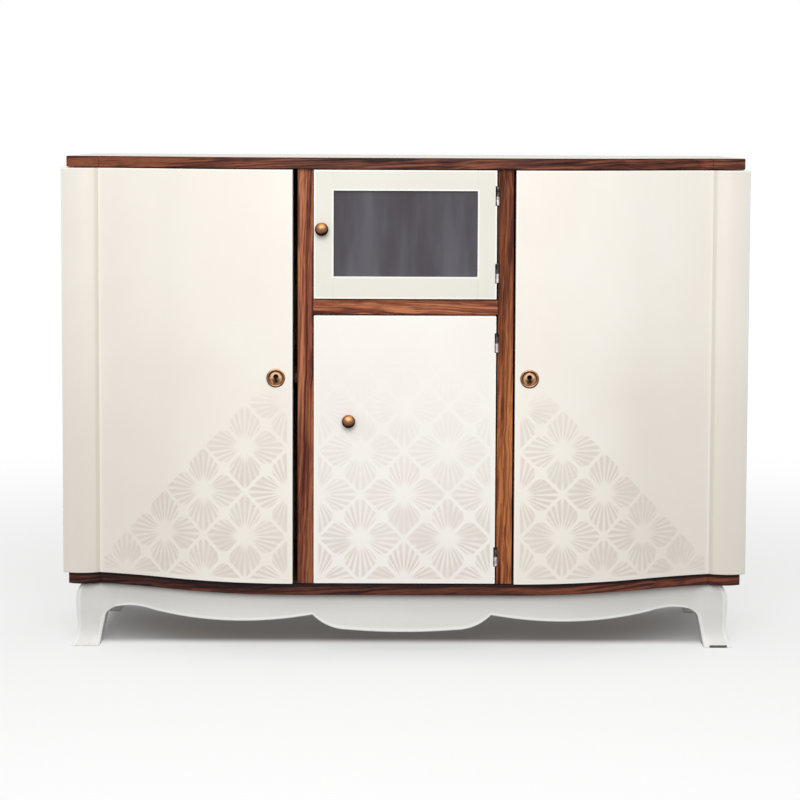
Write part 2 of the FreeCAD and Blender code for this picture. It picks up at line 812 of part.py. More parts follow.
# What the carcase carries of the eight hinges
frame_leaves = side_frame_leaves + [mirrored(leaf) for leaf in side_frame_leaves] + centre_frame_leaves
frame_screws = side_frame_screws + [mirrored(piece) for piece in side_frame_screws]
frame_screws += [screw(place, rightward) for place in mullion_screw_places]
pins = side_pins + [mirrored(piece) for piece in side_pins] + centre_pins
save("frame_hinge_leaves", *frame_leaves)
save("frame_hinge_screws", *frame_screws)
save("hinge_pins", *pins)
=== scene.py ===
import math

import bpy
import mathutils
import numpy as np
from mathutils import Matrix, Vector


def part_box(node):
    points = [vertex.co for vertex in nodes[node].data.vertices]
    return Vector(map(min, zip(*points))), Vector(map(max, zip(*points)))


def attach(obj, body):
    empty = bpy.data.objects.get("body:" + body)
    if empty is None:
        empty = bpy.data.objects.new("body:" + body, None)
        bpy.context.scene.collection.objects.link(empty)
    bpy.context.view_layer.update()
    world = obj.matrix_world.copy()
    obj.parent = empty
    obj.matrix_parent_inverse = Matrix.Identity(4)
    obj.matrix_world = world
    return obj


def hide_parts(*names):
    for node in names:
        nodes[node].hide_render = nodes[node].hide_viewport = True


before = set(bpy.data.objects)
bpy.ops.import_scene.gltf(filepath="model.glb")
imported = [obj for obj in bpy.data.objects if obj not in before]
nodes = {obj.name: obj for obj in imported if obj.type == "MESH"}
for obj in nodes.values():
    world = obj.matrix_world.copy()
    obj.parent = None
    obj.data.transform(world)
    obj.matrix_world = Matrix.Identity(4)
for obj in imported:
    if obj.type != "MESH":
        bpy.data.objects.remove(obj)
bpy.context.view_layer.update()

# Painted base: bracket feet and a bowed apron with a scalloped lower edge, sawn from hardwood, rounded over
# along the arrises, glued under the carcase and brushed as one with white paint that has greyed a little, with
# painted shade under the strip above and a painted highlight along the arrises.
# The joints between apron and feet are filled, so the front reads as a single sweep.
base_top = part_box("front_apron")[1].z
strip_thick = 0.012
groove_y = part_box("top_strip_corners")[1].y - strip_thick
flat_half = 0.215
groove_x = 0.625
bow_share = 0.646
sweep = math.radians(24.7)
hollow = math.radians(14.9)
turn_x = flat_half + bow_share * (groove_x - flat_half)
convex_radius = (turn_x - flat_half) / math.sin(sweep)
hollow_radius = (groove_x - turn_x) / (math.sin(sweep) - math.sin(hollow))
hollow_rise = hollow_radius * (math.cos(hollow) - math.cos(sweep))
bow_rise = hollow_rise + convex_radius * (1 - math.cos(sweep))


def bow_depth(x):
    """Depth of the front forward of the groove line: flat, then a convex arc, then a hollow arc tangent to it."""
    width = np.abs(x)
    run = np.clip(width - flat_half, 0, turn_x - flat_half)
    convex = bow_rise - convex_radius + np.sqrt(convex_radius ** 2 - run ** 2)
    back = np.clip(groove_x - width, 0, groove_x - turn_x) + hollow_radius * math.sin(hollow)
    hollow_part = hollow_radius * math.cos(hollow) - np.sqrt(hollow_radius ** 2 - back ** 2)
    return np.where(width <= turn_x, convex, hollow_part)


def grid_faces(rows, columns, wrap_rows=False, wrap_columns=False):
    """Quads over a grid of points numbered row by row, joined round along either way where it closes."""
    number = np.arange(rows * columns).reshape(rows, columns)
    if wrap_rows:
        number = np.vstack([number, number[:1]])
    if wrap_columns:
        number = np.hstack([number, number[:, :1]])
    quads = np.stack([number[:-1, :-1], number[:-1, 1:], number[1:, 1:], number[1:, :-1]], axis=-1)
    return quads.reshape(-1, 4)


sharp_angle = math.radians(38)


def new_piece(name, points, quads, caps, finish, body, slot, *replaced):
    """Piece from points, quads and end caps, turned outwards by its volume, smooth except at sharp corners."""
    spread = points - points.mean(axis=0)
    a, b, c, d = (spread[quads[:, corner]] for corner in range(4))
    volume = (a * np.cross(b, c)).sum() + (a * np.cross(c, d)).sum()
    faces = quads.tolist() + [list(cap) for cap in caps]
    if volume < 0:
        faces = [face[::-1] for face in faces]
    mesh = bpy.data.meshes.new(name)
    mesh.from_pydata(points.tolist(), [], faces)
    mesh.shade_smooth()
    mesh.set_sharp_from_angle(angle=sharp_angle)
    mesh.materials.append(finish)
    piece = bpy.data.objects.new(name, mesh)
    bpy.context.scene.collection.objects.link(piece)
    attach(piece, body)
    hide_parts(*replaced)
    return piece


def tube_piece(name, rings, *facts):
    """Piece from rings of points carried along a path, each ring closed, with a flat cap at either end."""
    count, around = rings.shape[:2]
    last = (count - 1) * around
    caps = [range(around - 1, -1, -1), range(last, last + around)]
    return new_piece(name, rings.reshape(-1, 3), grid_faces(count, around, wrap_columns=True), caps, *facts)


def tint(red, green, blue):
    """Linear colour of a paint or timber as it is seen, from its 0 to 255 display values."""
    seen = np.array([red, green, blue]) / 255
    linear = np.where(seen <= 0.04045, seen / 12.92, ((seen + 0.055) / 1.055) ** 2.4)
    return (*linear.tolist(), 1)


def fill(made, inputs):
    """Fill a node's sockets with numbers, colours or other nodes' sockets."""
    for key, value in inputs.items():
        if isinstance(value, bpy.types.NodeSocket):
            made.id_data.links.new(value, made.inputs[key])
        else:
            made.inputs[key].default_value = value
    return made


def add(kind, settings, inputs):
    """Add a shader node with its settings and inputs, in the tree that its inputs come from."""
    tree = next(value.id_data for value in inputs.values() if isinstance(value, bpy.types.NodeSocket))
    made = tree.nodes.new("ShaderNode" + kind)
    for name, value in settings.items():
        setattr(made, name, value)
    return fill(made, inputs)


def calc(operation, *values):
    """One step of arithmetic on sockets and numbers."""
    return add("Math", {"operation": operation}, dict(enumerate(values))).outputs[0]


def times(*values):
    """Product of sockets and numbers."""
    product = values[0]
    for value in values[1:]:
        product = calc("MULTIPLY", product, value)
    return product


def times_plus(value, gain, base):
    """A value times a gain, plus a base."""
    return calc("MULTIPLY_ADD", value, gain, base)


def minus(value, less):
    """A value less another."""
    return calc("SUBTRACT", value, less)


def between(share, first, second):
    """Number between two, by a share from 0 to 1."""
    return times_plus(share, second - first, first)


def vector(operation, *values):
    """One step of arithmetic on positions."""
    return add("VectorMath", {"operation": operation}, dict(enumerate(values))).outputs[0]


def axes_of(position):
    """X, Y and Z of a position."""
    return add("SeparateXYZ", {}, {0: position}).outputs


def step(value, start, end):
    """Smooth step: 0 at start, 1 at end, whichever of them is larger."""
    inputs = {"Value": value, "From Min": start, "From Max": end}
    return add("MapRange", {"interpolation_type": "SMOOTHSTEP"}, inputs).outputs[0]


def noise(position, scale, detail):
    """Fractal noise, about 0.5 on average, with one scale or one for each axis."""
    scaled = vector("MULTIPLY", position, np.broadcast_to(scale, 3).tolist())
    return add("TexNoise", {}, {"Vector": scaled, "Scale": 1, "Detail": detail}).outputs["Fac"]


def blend(share, first, second):
    """Colour between two, by a share from 0 to 1."""
    return add("Mix", {"data_type": "RGBA"}, {0: share, 6: first, 7: second}).outputs[2]


def effect(name, inputs, outputs):
    """Empty node group with named sockets; returns the group, its inputs and the node that takes its outputs."""
    group = bpy.data.node_groups.new(name, "ShaderNodeTree")
    for way, sockets in (("INPUT", inputs), ("OUTPUT", outputs)):
        for socket, kind in sockets.items():
            group.interface.new_socket(socket, in_out=way, socket_type="NodeSocket" + kind)
    return group, group.nodes.new("NodeGroupInput").outputs, group.nodes.new("NodeGroupOutput")


def place(group, **inputs):
    """Put a node group into a material with its own values; returns its outputs."""
    return add("Group", {"node_tree": group}, inputs).outputs


def material(name, **sockets):
    """New material; returns it with its Principled shader and the piece's own coordinates."""
    made = bpy.data.materials.new(name)
    made.use_nodes = True
    shader = made.node_tree.nodes["Principled BSDF"]
    for socket, value in sockets.items():
        shader.inputs[socket.replace("_", " ")].default_value = value
    return made, shader, made.node_tree.nodes.new("ShaderNodeTexCoord").outputs["Object"]


def own_mask(shader, name):
    """Number stored at each point of a piece, for its shader."""
    made = shader.id_data.nodes.new("ShaderNodeAttribute")
    made.attribute_name = name
    return made.outputs["Fac"]


def raise_surface(shader, height, distance):
    """Feed a height to the shader's normal as relief of a given depth in metres."""
    fill(shader, {"Normal": add("Bump", {}, {"Height": height, "Distance": distance}).outputs[0]})


# Brush marks: long faint streaks along Z, broad patches where the coat is thin, and a fine peel on top
brush_marks, entry, leave = effect("brush_marks", {"Position": "Vector"}, {"Tone": "Float", "Height": "Float"})
position = entry["Position"]
brush_scale, patch_scale, peel_scale = (150, 150, 5), 3.6, 520
streak_share, streak_relief = 0.08, 0.4
streaks = noise(position, brush_scale, 3)
patches = noise(position, patch_scale, 3)
peel = noise(position, peel_scale, 1)
tone = times_plus(patches, 1 - streak_share, times(streaks, streak_share))
fill(leave, {"Tone": minus(tone, 0.5), "Height": times_plus(streaks, streak_relief, peel)})


def add_mask(piece, name, values):
    """Store one number at each point of a new piece, for its material to read."""
    piece.data.attributes.new(name, "FLOAT", "POINT").data.foreach_set("value", values)


base_white, base_grey_and_shade = tint(233, 231, 226), tint(208, 206, 202)
arris_highlight_white, sole_black = tint(255, 255, 253), tint(40, 34, 30)
shade_under_carcase, shade_under_share = (0.075, base_top), 0.75
fresh_to_old, old_share = (-0.25, 0.3), 0.3
sole_patches, sole_blur = (0.40, 0.46), 0.0004
base_rough, brush_relief = (0.36, 0.48), 0.00008


def base_finish(name, reach):
    """White base paint: greyer towards the carcase above as painted shade under the strip, whiter along the arrises as
    a painted highlight, and near black in a ragged band along the soles.
    """
    made, shader, position = material(name)
    marks = place(brush_marks, Position=position)
    height = axes_of(position)["Z"]
    # Painted shade: greyer towards the top of the base, under the overhang of the bottom strip, added to the paint's
    # own patches
    under = times(step(height, *shade_under_carcase), shade_under_share)
    greyed_and_shaded = times_plus(step(marks["Tone"], *fresh_to_old), old_share, under)
    painted = blend(greyed_and_shaded, base_white, base_grey_and_shade)
    # Painted highlight: near white along the rounded arrises, by each piece's arris mask
    edged = blend(own_mask(shader, "arris"), painted, arris_highlight_white)
    # Near black in a ragged band along the sole, as high as the reach
    patchy = step(noise(position, 60, 3), *sole_patches)
    worn = times(patchy, step(height, reach + sole_blur, reach - sole_blur))
    fill(shader, {"Base Color": blend(worn, edged, sole_black), "Roughness": between(greyed_and_shaded, *base_rough)})
    raise_surface(shader, marks["Height"], brush_relief)
    return made


base_paint = base_finish("base_paint", reach=0.0004)
# On the right foot the near-black band reaches a few millimetres up the sole
dark_sole_paint = base_finish("base_paint_dark_sole", reach=0.0050)

foot_width = 0.0595
toe_kick = 0.010
belly_height = 0.095
shin_hollow, shin_kick = 0.034, 0.044
wing = 0.0315
wing_height = 0.081
wing_fade, apron_fade, least_ease = 0.02, 0.03, 0.02
sole_ease, corner_ease = 0.0022, 0.0024
corner_points, face_points = 7, 16
apron_end = 0.591
apron_setback = 0.016
cusp_x = 0.180
joint_run = 0.046
base_middle = (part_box("front_apron")[0].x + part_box("front_apron")[1].x) / 2


def through(height, *places):
    """Parabola through three places, each a height and a value."""
    heights, values = zip(*places)
    return np.polyval(np.polyfit(heights, values, 2), height)


def rolled(distance, radius):
    """Drop of a rounded arris at a distance from its corner: a quarter circle below its tangent."""
    short = np.clip(radius - distance, 0, radius)
    return radius - np.sqrt(radius ** 2 - short ** 2)


def foot_outline(height, belly, shoulder):
    """Outer and inner outline of a foot in one view. Outside, an elliptic shoulder over a hollow shin, a cubic that
    leaves the belly upright and kicks out to the toe; inside, two parabolas from the heel up to the wing."""
    toe = belly + toe_kick
    up = np.clip((height - belly_height) / (base_top - belly_height), 0, 1)
    rounded = belly - shoulder * (1 - np.sqrt(1 - up ** 2))
    down = 1 - height / belly_height
    shin = belly - shin_hollow * down ** 2 + shin_kick * down ** 3
    low, high = 0.74 * wing_height, wing_height
    bracket = through(height, (0, 0), (0.36 * wing_height, 0.13), (low, 1 / 3))
    ramp = through(height, (low, 1 / 3), (0.9 * wing_height, 0.6), (high, 1))
    share = np.where(height < low, bracket, np.where(height < high, ramp, 1))
    return np.where(height < belly_height, shin, rounded), toe - foot_width - wing * share


def foot_rings(side, height, across, depth, meets_apron):
    """Rings of a foot: at each height the rectangle of its two views, its corners quarter circles, its sole eased.
    Where it meets the apron the front runs over, by a smooth step, into the apron's own bow."""
    outer, inner = across
    front, rear = depth
    sole = rolled(height, sole_ease)
    outer, inner, front, rear = outer - sole, inner + sole, front - sole, rear + sole
    fade = np.clip((wing_height - height) / wing_fade, least_ease, 1) if meets_apron else np.ones_like(height)
    radius = corner_ease * np.stack([fade, np.ones_like(fade), 0.5 * np.ones_like(fade), 0.5 * fade], axis=1)
    turn = np.radians(np.array([180, 90, 0, -90])[:, None] - np.linspace(0, 90, corner_points))
    middle_x = np.stack([inner, outer, outer, inner], axis=1) + radius * np.array([1, -1, -1, 1])
    middle_d = np.stack([front, front, rear, rear], axis=1) + radius * np.array([-1, -1, 1, 1])
    corner_x = middle_x[:, :, None] + radius[:, :, None] * np.cos(turn)
    corner_d = middle_d[:, :, None] + radius[:, :, None] * np.sin(turn)
    share = np.linspace(0, 1, face_points + 2)[1:-1]
    face_x = corner_x[:, 0, -1:] + (corner_x[:, 1, :1] - corner_x[:, 0, -1:]) * share
    face_d = np.repeat(front[:, None], face_points, axis=1)
    x = np.hstack([corner_x[:, 0], face_x, corner_x[:, 1:].reshape(height.size, -1)])
    d = np.hstack([corner_d[:, 0], face_d, corner_d[:, 1:].reshape(height.size, -1)])
    if meets_apron:
        near = np.clip((apron_end + joint_run - x) / joint_run, 0, 1)
        near = near * near * (3 - 2 * near)
        near[:, face_points + corner_points:] = 0
        d = d + near * (bow_depth(x) - apron_setback - front[:, None])
    z = np.repeat(height[:, None], x.shape[1], axis=1)
    return np.stack([base_middle + side * x, groove_y - d, z], axis=-1)


foot_levels = np.unique(np.hstack([
    [0, 0.0002, 0.0007, 0.0014, sole_ease, wing_height], np.linspace(0.005, 0.074, 26),
    np.linspace(0.0745, 0.084, 10), np.linspace(0.087, base_top - 0.006, 14),
    np.linspace(base_top - 0.005, base_top, 9)]))
front_view = foot_outline(foot_levels, belly=0.672, shoulder=0.022)
side_view = foot_outline(foot_levels, belly=-0.006, shoulder=0.006)
back_low, back_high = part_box("back_feet")
back_view = [np.full_like(foot_levels, groove_y - back_low.y), np.full_like(foot_levels, groove_y - back_high.y)]
# Strength of the painted highlight at each point round a foot's rings, on its rounded arrises
inner_highlight = np.clip((wing_height - foot_levels) / wing_fade, 0, 1)[:, None] * [[0.4, 0.8, 1, 1, 1, 0.6, 0.2]]
outer_highlight = np.ones((foot_levels.size, 1)) * [[0.2, 0.6, 1, 1, 1, 0.8, 0.4]]
plain = np.zeros((foot_levels.size, face_points))
face = np.hstack([0.5 * inner_highlight[:, 2:3], plain[:, 2:], 0.5 * outer_highlight[:, 2:3]])
foot_highlight = np.hstack([inner_highlight, face, outer_highlight, plain[:, :2 * corner_points]])
for side, word, finish in ((-1, "left", base_paint), (1, "right", dark_sole_paint)):
    rings = foot_rings(side, foot_levels, front_view, side_view, True)
    piece = tube_piece("foot_" + word, rings, finish, "carcase", "base_paint", "front_foot_" + word)
    add_mask(piece, "arris", foot_highlight.ravel())
    rings = foot_rings(side, foot_levels, front_view, back_view, False)
    tube_piece("back_foot_" + word, rings, base_paint, "carcase", "base_paint", "back_feet")


def arc_height(x, first, middle, last):
    """Height at x on the circle through three places: its centre from the two bisectors, on the middle one's side."""
    spots = np.array([first, middle, last])
    halves = np.diff((spots ** 2).sum(axis=1)) / 2
    centre_x, centre_z = np.linalg.solve(np.diff(spots, axis=0), halves)
    radius = math.hypot(first[0] - centre_x, first[1] - centre_z)
    rise = np.sqrt(np.maximum(radius ** 2 - (x - centre_x) ** 2, 0))
    return centre_z + math.copysign(1, middle[1] - centre_z) * rise


def apron_edge(x):
    """Lower edge of the apron: a middle lobe of three arcs, a cusp, a long scallop, and a hump beside the foot."""
    width = np.abs(x)
    foot, hump, dip = (apron_end, wing_height), (0.5047, 0.0795), (0.4143, 0.072)
    cusp, bend, knee = (cusp_x, 0.087), (0.1566, 0.069), (0.1098, 0.0565)
    lobe = arc_height(width, knee, (0, 0.052), (-knee[0], knee[1]))
    flank = arc_height(width, cusp, bend, knee)
    scallop = arc_height(width, hump, dip, cusp)
    crest = arc_height(width, foot, ((foot[0] + hump[0]) / 2 + 0.008, 0.085), hump)
    return np.select([width <= knee[0], width <= cusp[0], width <= hump[0]], [lobe, flank, scallop], crest)


def apron_rings(x, thick, round_over):
    """Sections of the apron along its bow: a board on edge, its lower corners quarter circles that fade to the feet."""
    arris = round_over * np.clip((apron_end - np.abs(x)) / apron_fade, least_ease, 1)[:, None]
    front, low = bow_depth(x) - apron_setback, apron_edge(x)
    turn = np.radians(np.linspace(0, -90, corner_points))
    front_d = front[:, None] - arris + arris * np.cos(turn)
    corner_z = low[:, None] + arris + arris * np.sin(turn)
    back_d = front[:, None] - thick + arris - arris * np.cos(turn[::-1])
    face_rows = np.append(np.linspace(0, 0.9, 8), 0.96)
    face_z = base_top + (corner_z[:, :1] - base_top) * face_rows
    face_d = np.repeat(front[:, None], face_rows.size, axis=1)
    rear = np.full((x.size, 1), base_top)
    d = np.hstack([face_d, front_d, back_d, front[:, None] - thick])
    z = np.hstack([face_z, corner_z, corner_z[:, ::-1], rear])
    return np.stack([np.repeat(base_middle + x[:, None], d.shape[1], axis=1), groove_y - d, z], axis=-1)


near_cusp = np.linspace(cusp_x - 0.006, cusp_x + 0.006, 13)
apron_x = np.unique(np.hstack([np.linspace(-apron_end, apron_end, 261), near_cusp, -near_cusp]).round(5))
rings = apron_rings(apron_x, thick=0.020, round_over=0.0035)
piece = tube_piece("apron", rings, base_paint, "carcase", "base_paint", "front_apron")
# Strength of the painted highlight at each point round the apron's sections, on its lower arris
apron_highlight = np.hstack([np.zeros(8), [0.5, 1, 1, 1, 1, 1, 0.8, 0.5], np.zeros(8)])
add_mask(piece, "arris", np.tile(apron_highlight, apron_x.size))


weld_reach, ease_segments, ease_angle, flat_weight = 0.00001, 3, math.radians(32), 80


def dress(names, finish, ease):
    """Give CAD pieces their finish and round their arrises: weld the triangles, bevel, weight the normals."""
    for name in names:
        piece = nodes[name]
        piece.material_slots[0].material = finish
        weld = piece.modifiers.new("weld", "WELD")
        weld.merge_threshold = weld_reach
        bevel = piece.modifiers.new("ease", "BEVEL")
        bevel.width = ease
        bevel.segments = ease_segments
        bevel.limit_method = "ANGLE"
        bevel.angle_limit = ease_angle
        bevel.use_clamp_overlap = False
        normals = piece.modifiers.new("normals", "WEIGHTED_NORMAL")
        normals.weight = flat_weight


dress(["side_aprons"], base_paint, ease=0.003)

# Carcase: bottom board, partitions, deck, shelves on cleats, back apron and glue blocks, all plain softwood,
# planed, waxed and left unpainted inside, butted and glued together.

# Timber grain along Z: broad figure, wavering growth bands drawn out along the grain, dark veins and short pores
timber_grain, entry, leave = effect(
    "timber_grain",
    {"Position": "Vector", "Dark": "Color", "Middle": "Color", "Light": "Color"},
    {"Color": "Color", "Height": "Float"})
position = entry["Position"]
waver_scale, figure_scale = (16, 16, 9), (38, 38, 1.6)
band_scale, vein_scale, pore_scale = (230, 230, 4.5), (330, 330, 7), (900, 900, 26)
waver_width, figure_share, line_share, line_depth = 0.012, 0.42, 0.55, -0.8
waver = times(noise(position, waver_scale, 2), waver_width)
aside = add("CombineXYZ", {}, {"X": waver, "Y": waver}).outputs[0]
waved = vector("ADD", position, aside)
figure = noise(waved, figure_scale, 3)
bands = noise(waved, band_scale, 4)
veins = noise(waved, vein_scale, 2)
pores = noise(position, pore_scale, 2)
depth = times_plus(figure, figure_share, times(bands, 1 - figure_share))
dark_lines = calc("MAXIMUM", step(veins, 0.41, 0.33), step(pores, 0.42, 0.30))
stained = blend(step(depth, 0.50, 0.40), entry["Middle"], entry["Dark"])
figured = blend(step(depth, 0.49, 0.60), stained, entry["Light"])
lined = blend(times(dark_lines, line_share), figured, entry["Dark"])
fill(leave, {"Color": lined, "Height": times_plus(dark_lines, line_depth, bands)})

along_x = (0, math.radians(87.5), 0)
along_y = (math.radians(88), 0, 0)
along_z = (0, math.radians(-1.5), 0)
planed = 0.0002
oiled_rough, grain_polish = 0.56, -0.12


def timber(name, colours, turn, relief, shift=0, stain_and_shade=None, scale=(1, 1, 1)):
    """Timber whose grain runs along one axis, turned and shifted out of the log, in its dark to light colours.
    A darkening runs from one height to another, up to a share of the dark colour: stains on the mullions, a
    painted shadow along the bottom strip's top edge under the doors, and a darker upper edge on the top strip;
    the scale flattens the depth for a strip whose grain is bent round the bow."""
    made, shader, position = material(name, Specular_IOR_Level=0.15)
    inputs = {"Vector": position, "Location": (shift, shift, 2 * shift), "Rotation": turn, "Scale": scale}
    turned = add("Mapping", {}, inputs).outputs[0]
    dark, middle, light = colours
    grain = place(timber_grain, Position=turned, Dark=dark, Middle=middle, Light=light)
    colour = grain["Color"]
    if stain_and_shade:
        start, end, share = stain_and_shade
        height = axes_of(position)["Z"]
        colour = blend(times(step(height, start, end), share), colour, dark)
    fill(shader, {"Base Color": colour, "Roughness": times_plus(grain["Height"], grain_polish, oiled_rough)})
    raise_surface(shader, grain["Height"], relief)
    return made, shader, position, colour


partition_place = -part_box("mullion_left")[0].x
bottom_box, back_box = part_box("bottom_board"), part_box("back_panel")
corner_shade_colour, end_paint = tint(58, 44, 32), tint(232, 226, 215)
corner_shade_reach, corner_shade_raggedness, corner_shade_share = (0.060, 0.028), 0.03, 0.85


def corner_shade_and_end_paint(facts):
    """Painted shade inside the carcase, dark brown within a few centimetres of the partitions, above the bottom
    board and in front of the back, and paint on the bottom board's ends; returns the material."""
    made, shader, position, colour = facts
    axes = axes_of(position)
    width = calc("ABSOLUTE", axes["X"])
    apart = calc("ABSOLUTE", minus(width, partition_place))
    ragged = times_plus(noise(position, 30, 3), corner_shade_raggedness, apart)
    before_back = step(axes["Y"], back_box[0].y + 0.002, back_box[0].y + 0.001)
    above = step(axes["Z"], bottom_box[1].z - 0.003, bottom_box[1].z - 0.002)
    corner_shade = times(step(ragged, *corner_shade_reach), before_back, above, corner_shade_share)
    ends = step(width, bottom_box[1].x - 0.002, bottom_box[1].x - 0.001)
    fill(shader, {"Base Color": blend(ends, blend(corner_shade, colour, corner_shade_colour), end_paint)})
    return made


softwood = (tint(150, 110, 74), tint(182, 142, 100), tint(200, 164, 122))
softwood_across = corner_shade_and_end_paint(timber("inside_wood_across", softwood, along_x, planed))
softwood_deep = timber("inside_wood_deep", softwood, along_y, planed, shift=0.3)[0]
softwood_upright = timber("inside_wood_upright", softwood, along_z, planed, shift=0.7)[0]
board_ease = 0.001
boards_across = ["bottom_board", "glass_deck", "shelf_left", "shelf_right", "shelf_centre", "back_apron"]
dress(boards_across, softwood_across, board_ease)
dress(["shelf_cleats", "glue_blocks"], softwood_deep, board_ease)
dress(["partition_left", "partition_right"], softwood_upright, board_ease)

# Back panel: one thin sheet of plywood nailed over the back of the carcase, raw, with the wide figure of a
# peeled veneer and dirt rubbed in along its edges.

# Rubbed edges: how far a point lies inside a box's nearest side, and a ragged mask along those sides
rubbed_edges, entry, leave = effect(
    "rubbed_edges",
    {"Position": "Vector", "Low": "Vector", "High": "Vector", "Reach": "Float"},
    {"Distance": "Float", "Mask": "Float"})
position = entry["Position"]
rag_scale, rag_middle, inward_fall, mask_soft = 48, 0.45, -0.3, 0.0012
from_low = vector("SUBTRACT", position, entry["Low"])
to_high = vector("SUBTRACT", entry["High"], position)
nearer = vector("MINIMUM", from_low, to_high)
sides = axes_of(nearer)
inside = calc("MINIMUM", sides["X"], calc("MINIMUM", sides["Y"], sides["Z"]))
ragged = times(minus(noise(position, rag_scale, 5), rag_middle), entry["Reach"])
worn = times_plus(inside, inward_fall, ragged)
fill(leave, {"Distance": inside, "Mask": step(worn, 0, mask_soft)})


def open_box(corners):
    """A board's low and high corner, a metre further apart across its thickness, so that its four edges count."""
    low, high = np.array(corners)
    apart = np.where(np.arange(3) == np.argmin(high - low), 1, 0)
    return {"Low": tuple(low - apart), "High": tuple(high + apart)}


back_ply, shader, position = material("back_ply")
dark_ply, middle_ply, light_ply = tint(160, 126, 90), tint(190, 157, 118), tint(206, 176, 138)
edge_dirt, dirt_share, peel_stretch, ply_relief = tint(120, 94, 68), 0.45, (0.16, 0.16, 0.4), 0.0003
peeled = vector("MULTIPLY", position, peel_stretch)
grain = place(timber_grain, Position=peeled, Dark=dark_ply, Middle=middle_ply, Light=light_ply)
dirty = place(rubbed_edges, Position=position, Reach=0.02, **open_box(back_box))["Mask"]
edged = blend(times(dirty, dirt_share), grain["Color"], edge_dirt)
fill(shader, {"Roughness": times_plus(grain["Height"], 0.1, 0.62)})
raise_surface(shader, grain["Height"], ply_relief)
dress(["back_panel"], corner_shade_and_end_paint((back_ply, shader, position, edged)), ease=0.0006)

# Edge strips, mullions and cross rail: red-brown hardwood glued to the front edges of the boards and
# partitions, scraped clean of paint and oiled. The streaky figure runs along each piece.
dark_red = (tint(36, 14, 12), tint(86, 47, 38), tint(138, 79, 56))
deep_red = (tint(22, 8, 8), tint(70, 36, 31), tint(126, 70, 51))
warm_red = (tint(68, 27, 21), tint(134, 72, 51), tint(186, 118, 80))
warm_orange = (tint(72, 32, 18), tint(138, 76, 44), tint(186, 116, 68))
round_bow = (-1, 0.08, 1)
scraped = 0.0003


def band(value, rise_from, rise_to, fall_from, fall_to):
    """Product of two smooth steps, one up and one down."""
    return times(step(value, rise_from, rise_to), step(value, fall_from, fall_to))


# The top strip darkens towards its upper edge; the bottom strip has a painted shadow along its top edge, under the
# doors
top_edge_darkening, bottom_door_shadow = (1.003, 1.0075, 0.55), (0.1465, 0.1490, 0.9)
top_wood = timber("rosewood_top_strips", dark_red, along_x, scraped, 0.2, top_edge_darkening, round_bow)[0]
bottom_wood, shader, position, colour = timber(
    "rosewood_bottom_strips", deep_red, along_x, scraped, 0.9, bottom_door_shadow, round_bow)
# The bottom strip is darker over a stretch from left of its middle to just right of it
darker_middle_band, darker_middle_share = (-0.46, -0.30, 0.36, 0.05), 0.4
darker_middle = times(band(axes_of(position)["X"], *darker_middle_band), darker_middle_share)
fill(shader, {"Base Color": blend(darker_middle, colour, deep_red[0])})
rail_wood = timber("rosewood_rail", warm_red, along_x, scraped, shift=0.6)[0]
left_wood = timber("rosewood_mullion_left", warm_red, along_z, scraped, shift=0.4, stain_and_shade=(0.66, 0.35, 0.38))[0]
right_wood = timber("rosewood_mullion_right", warm_orange, along_z, scraped, shift=1.1, stain_and_shade=(0.50, 0.85, 0.30))[0]
strip_ease, rail_ease, mullion_ease = 0.0016, 0.0012, 0.0005
dress(["top_strip_bow", "top_strip_corners"], top_wood, strip_ease)
dress(["bottom_strip_bow", "bottom_strip_corners"], bottom_wood, strip_ease)
dress(["cross_rail"], rail_wood, rail_ease)
dress(["mullion_left"], left_wood, mullion_ease)
dress(["mullion_right"], right_wood, mullion_ease)

# Painted boards: the top and the two sides, brushed with the cream paint of the doors, which has yellowed in
# broad patches and is rubbed a little thin along the edges; a painted highlight whitens a thin line just in from each
# rim.
cream = tint(248, 243, 234)
old_cream = tint(239, 232, 221)
thin_cream = tint(206, 196, 182)
rim_highlight_cream = tint(254, 253, 247)
highlight_reach, highlight_share, thin_share = (0.0042, 0.0016), 0.75, 0.4
cream_rough, cream_relief = (0.34, 0.48), 0.00006
board_wear = 0.004


def cream_paint(name, corners, reach, fresh=cream, old=old_cream):
    """Cream paint on a board between two corners, with a painted highlight just in from its edges; returns the
    material, its shader, the position and the colour so far."""
    made, shader, position = material(name)
    marks = place(brush_marks, Position=position)
    yellowed = step(marks["Tone"], *fresh_to_old)
    painted = blend(yellowed, fresh, old)
    edges = place(rubbed_edges, Position=position, Reach=reach, **open_box(corners))
    # Painted highlight: near white between about 1.6 and 4.2 millimetres in from each edge
    rim = times(step(edges["Distance"], *highlight_reach), highlight_share)
    highlighted = blend(rim, painted, rim_highlight_cream)
    worn = blend(times(edges["Mask"], thin_share), highlighted, thin_cream)
    fill(shader, {"Base Color": worn, "Roughness": between(yellowed, *cream_rough)})
    raise_surface(shader, marks["Height"], cream_relief)
    return made, shader, position, worn


for name in ("top_board", "side_panel_left", "side_panel_right"):
    dress([name], cream_paint("cream_" + name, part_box(name), board_wear)[0], ease=0.0012)

# Side doors: a bowed panel of bent plywood with a convex corner pilaster glued to its outer edge, the groove
# between them filled to a soft crease by paint. Cream paint, with a lattice of rayed four-petal flowers
# stencilled over the lower inner corner; the back is let out round the knuckles of its two butts.
door_proud = 0.008
door_thick = 0.022
door_edge = 0.700
pilaster_bulge = 0.010
crease_depth, crease_width, crease_reach = 0.0006, 0.0009, 0.02
fine_step, averaged = 0.00025, 25
rim_ease, door_wear = 0.0018, 0.003
key_height = 0.5695
key_places = {"left": -0.2575, "right": 0.2475}
door_low, door_high, knuckle_inset = 0.155, 0.984, 0.094
knuckle_heights = np.array([door_low + knuckle_inset, door_high - knuckle_inset])
knuckle_half, knuckle_x, notch_floor = 0.0197, 0.6933, -0.0104


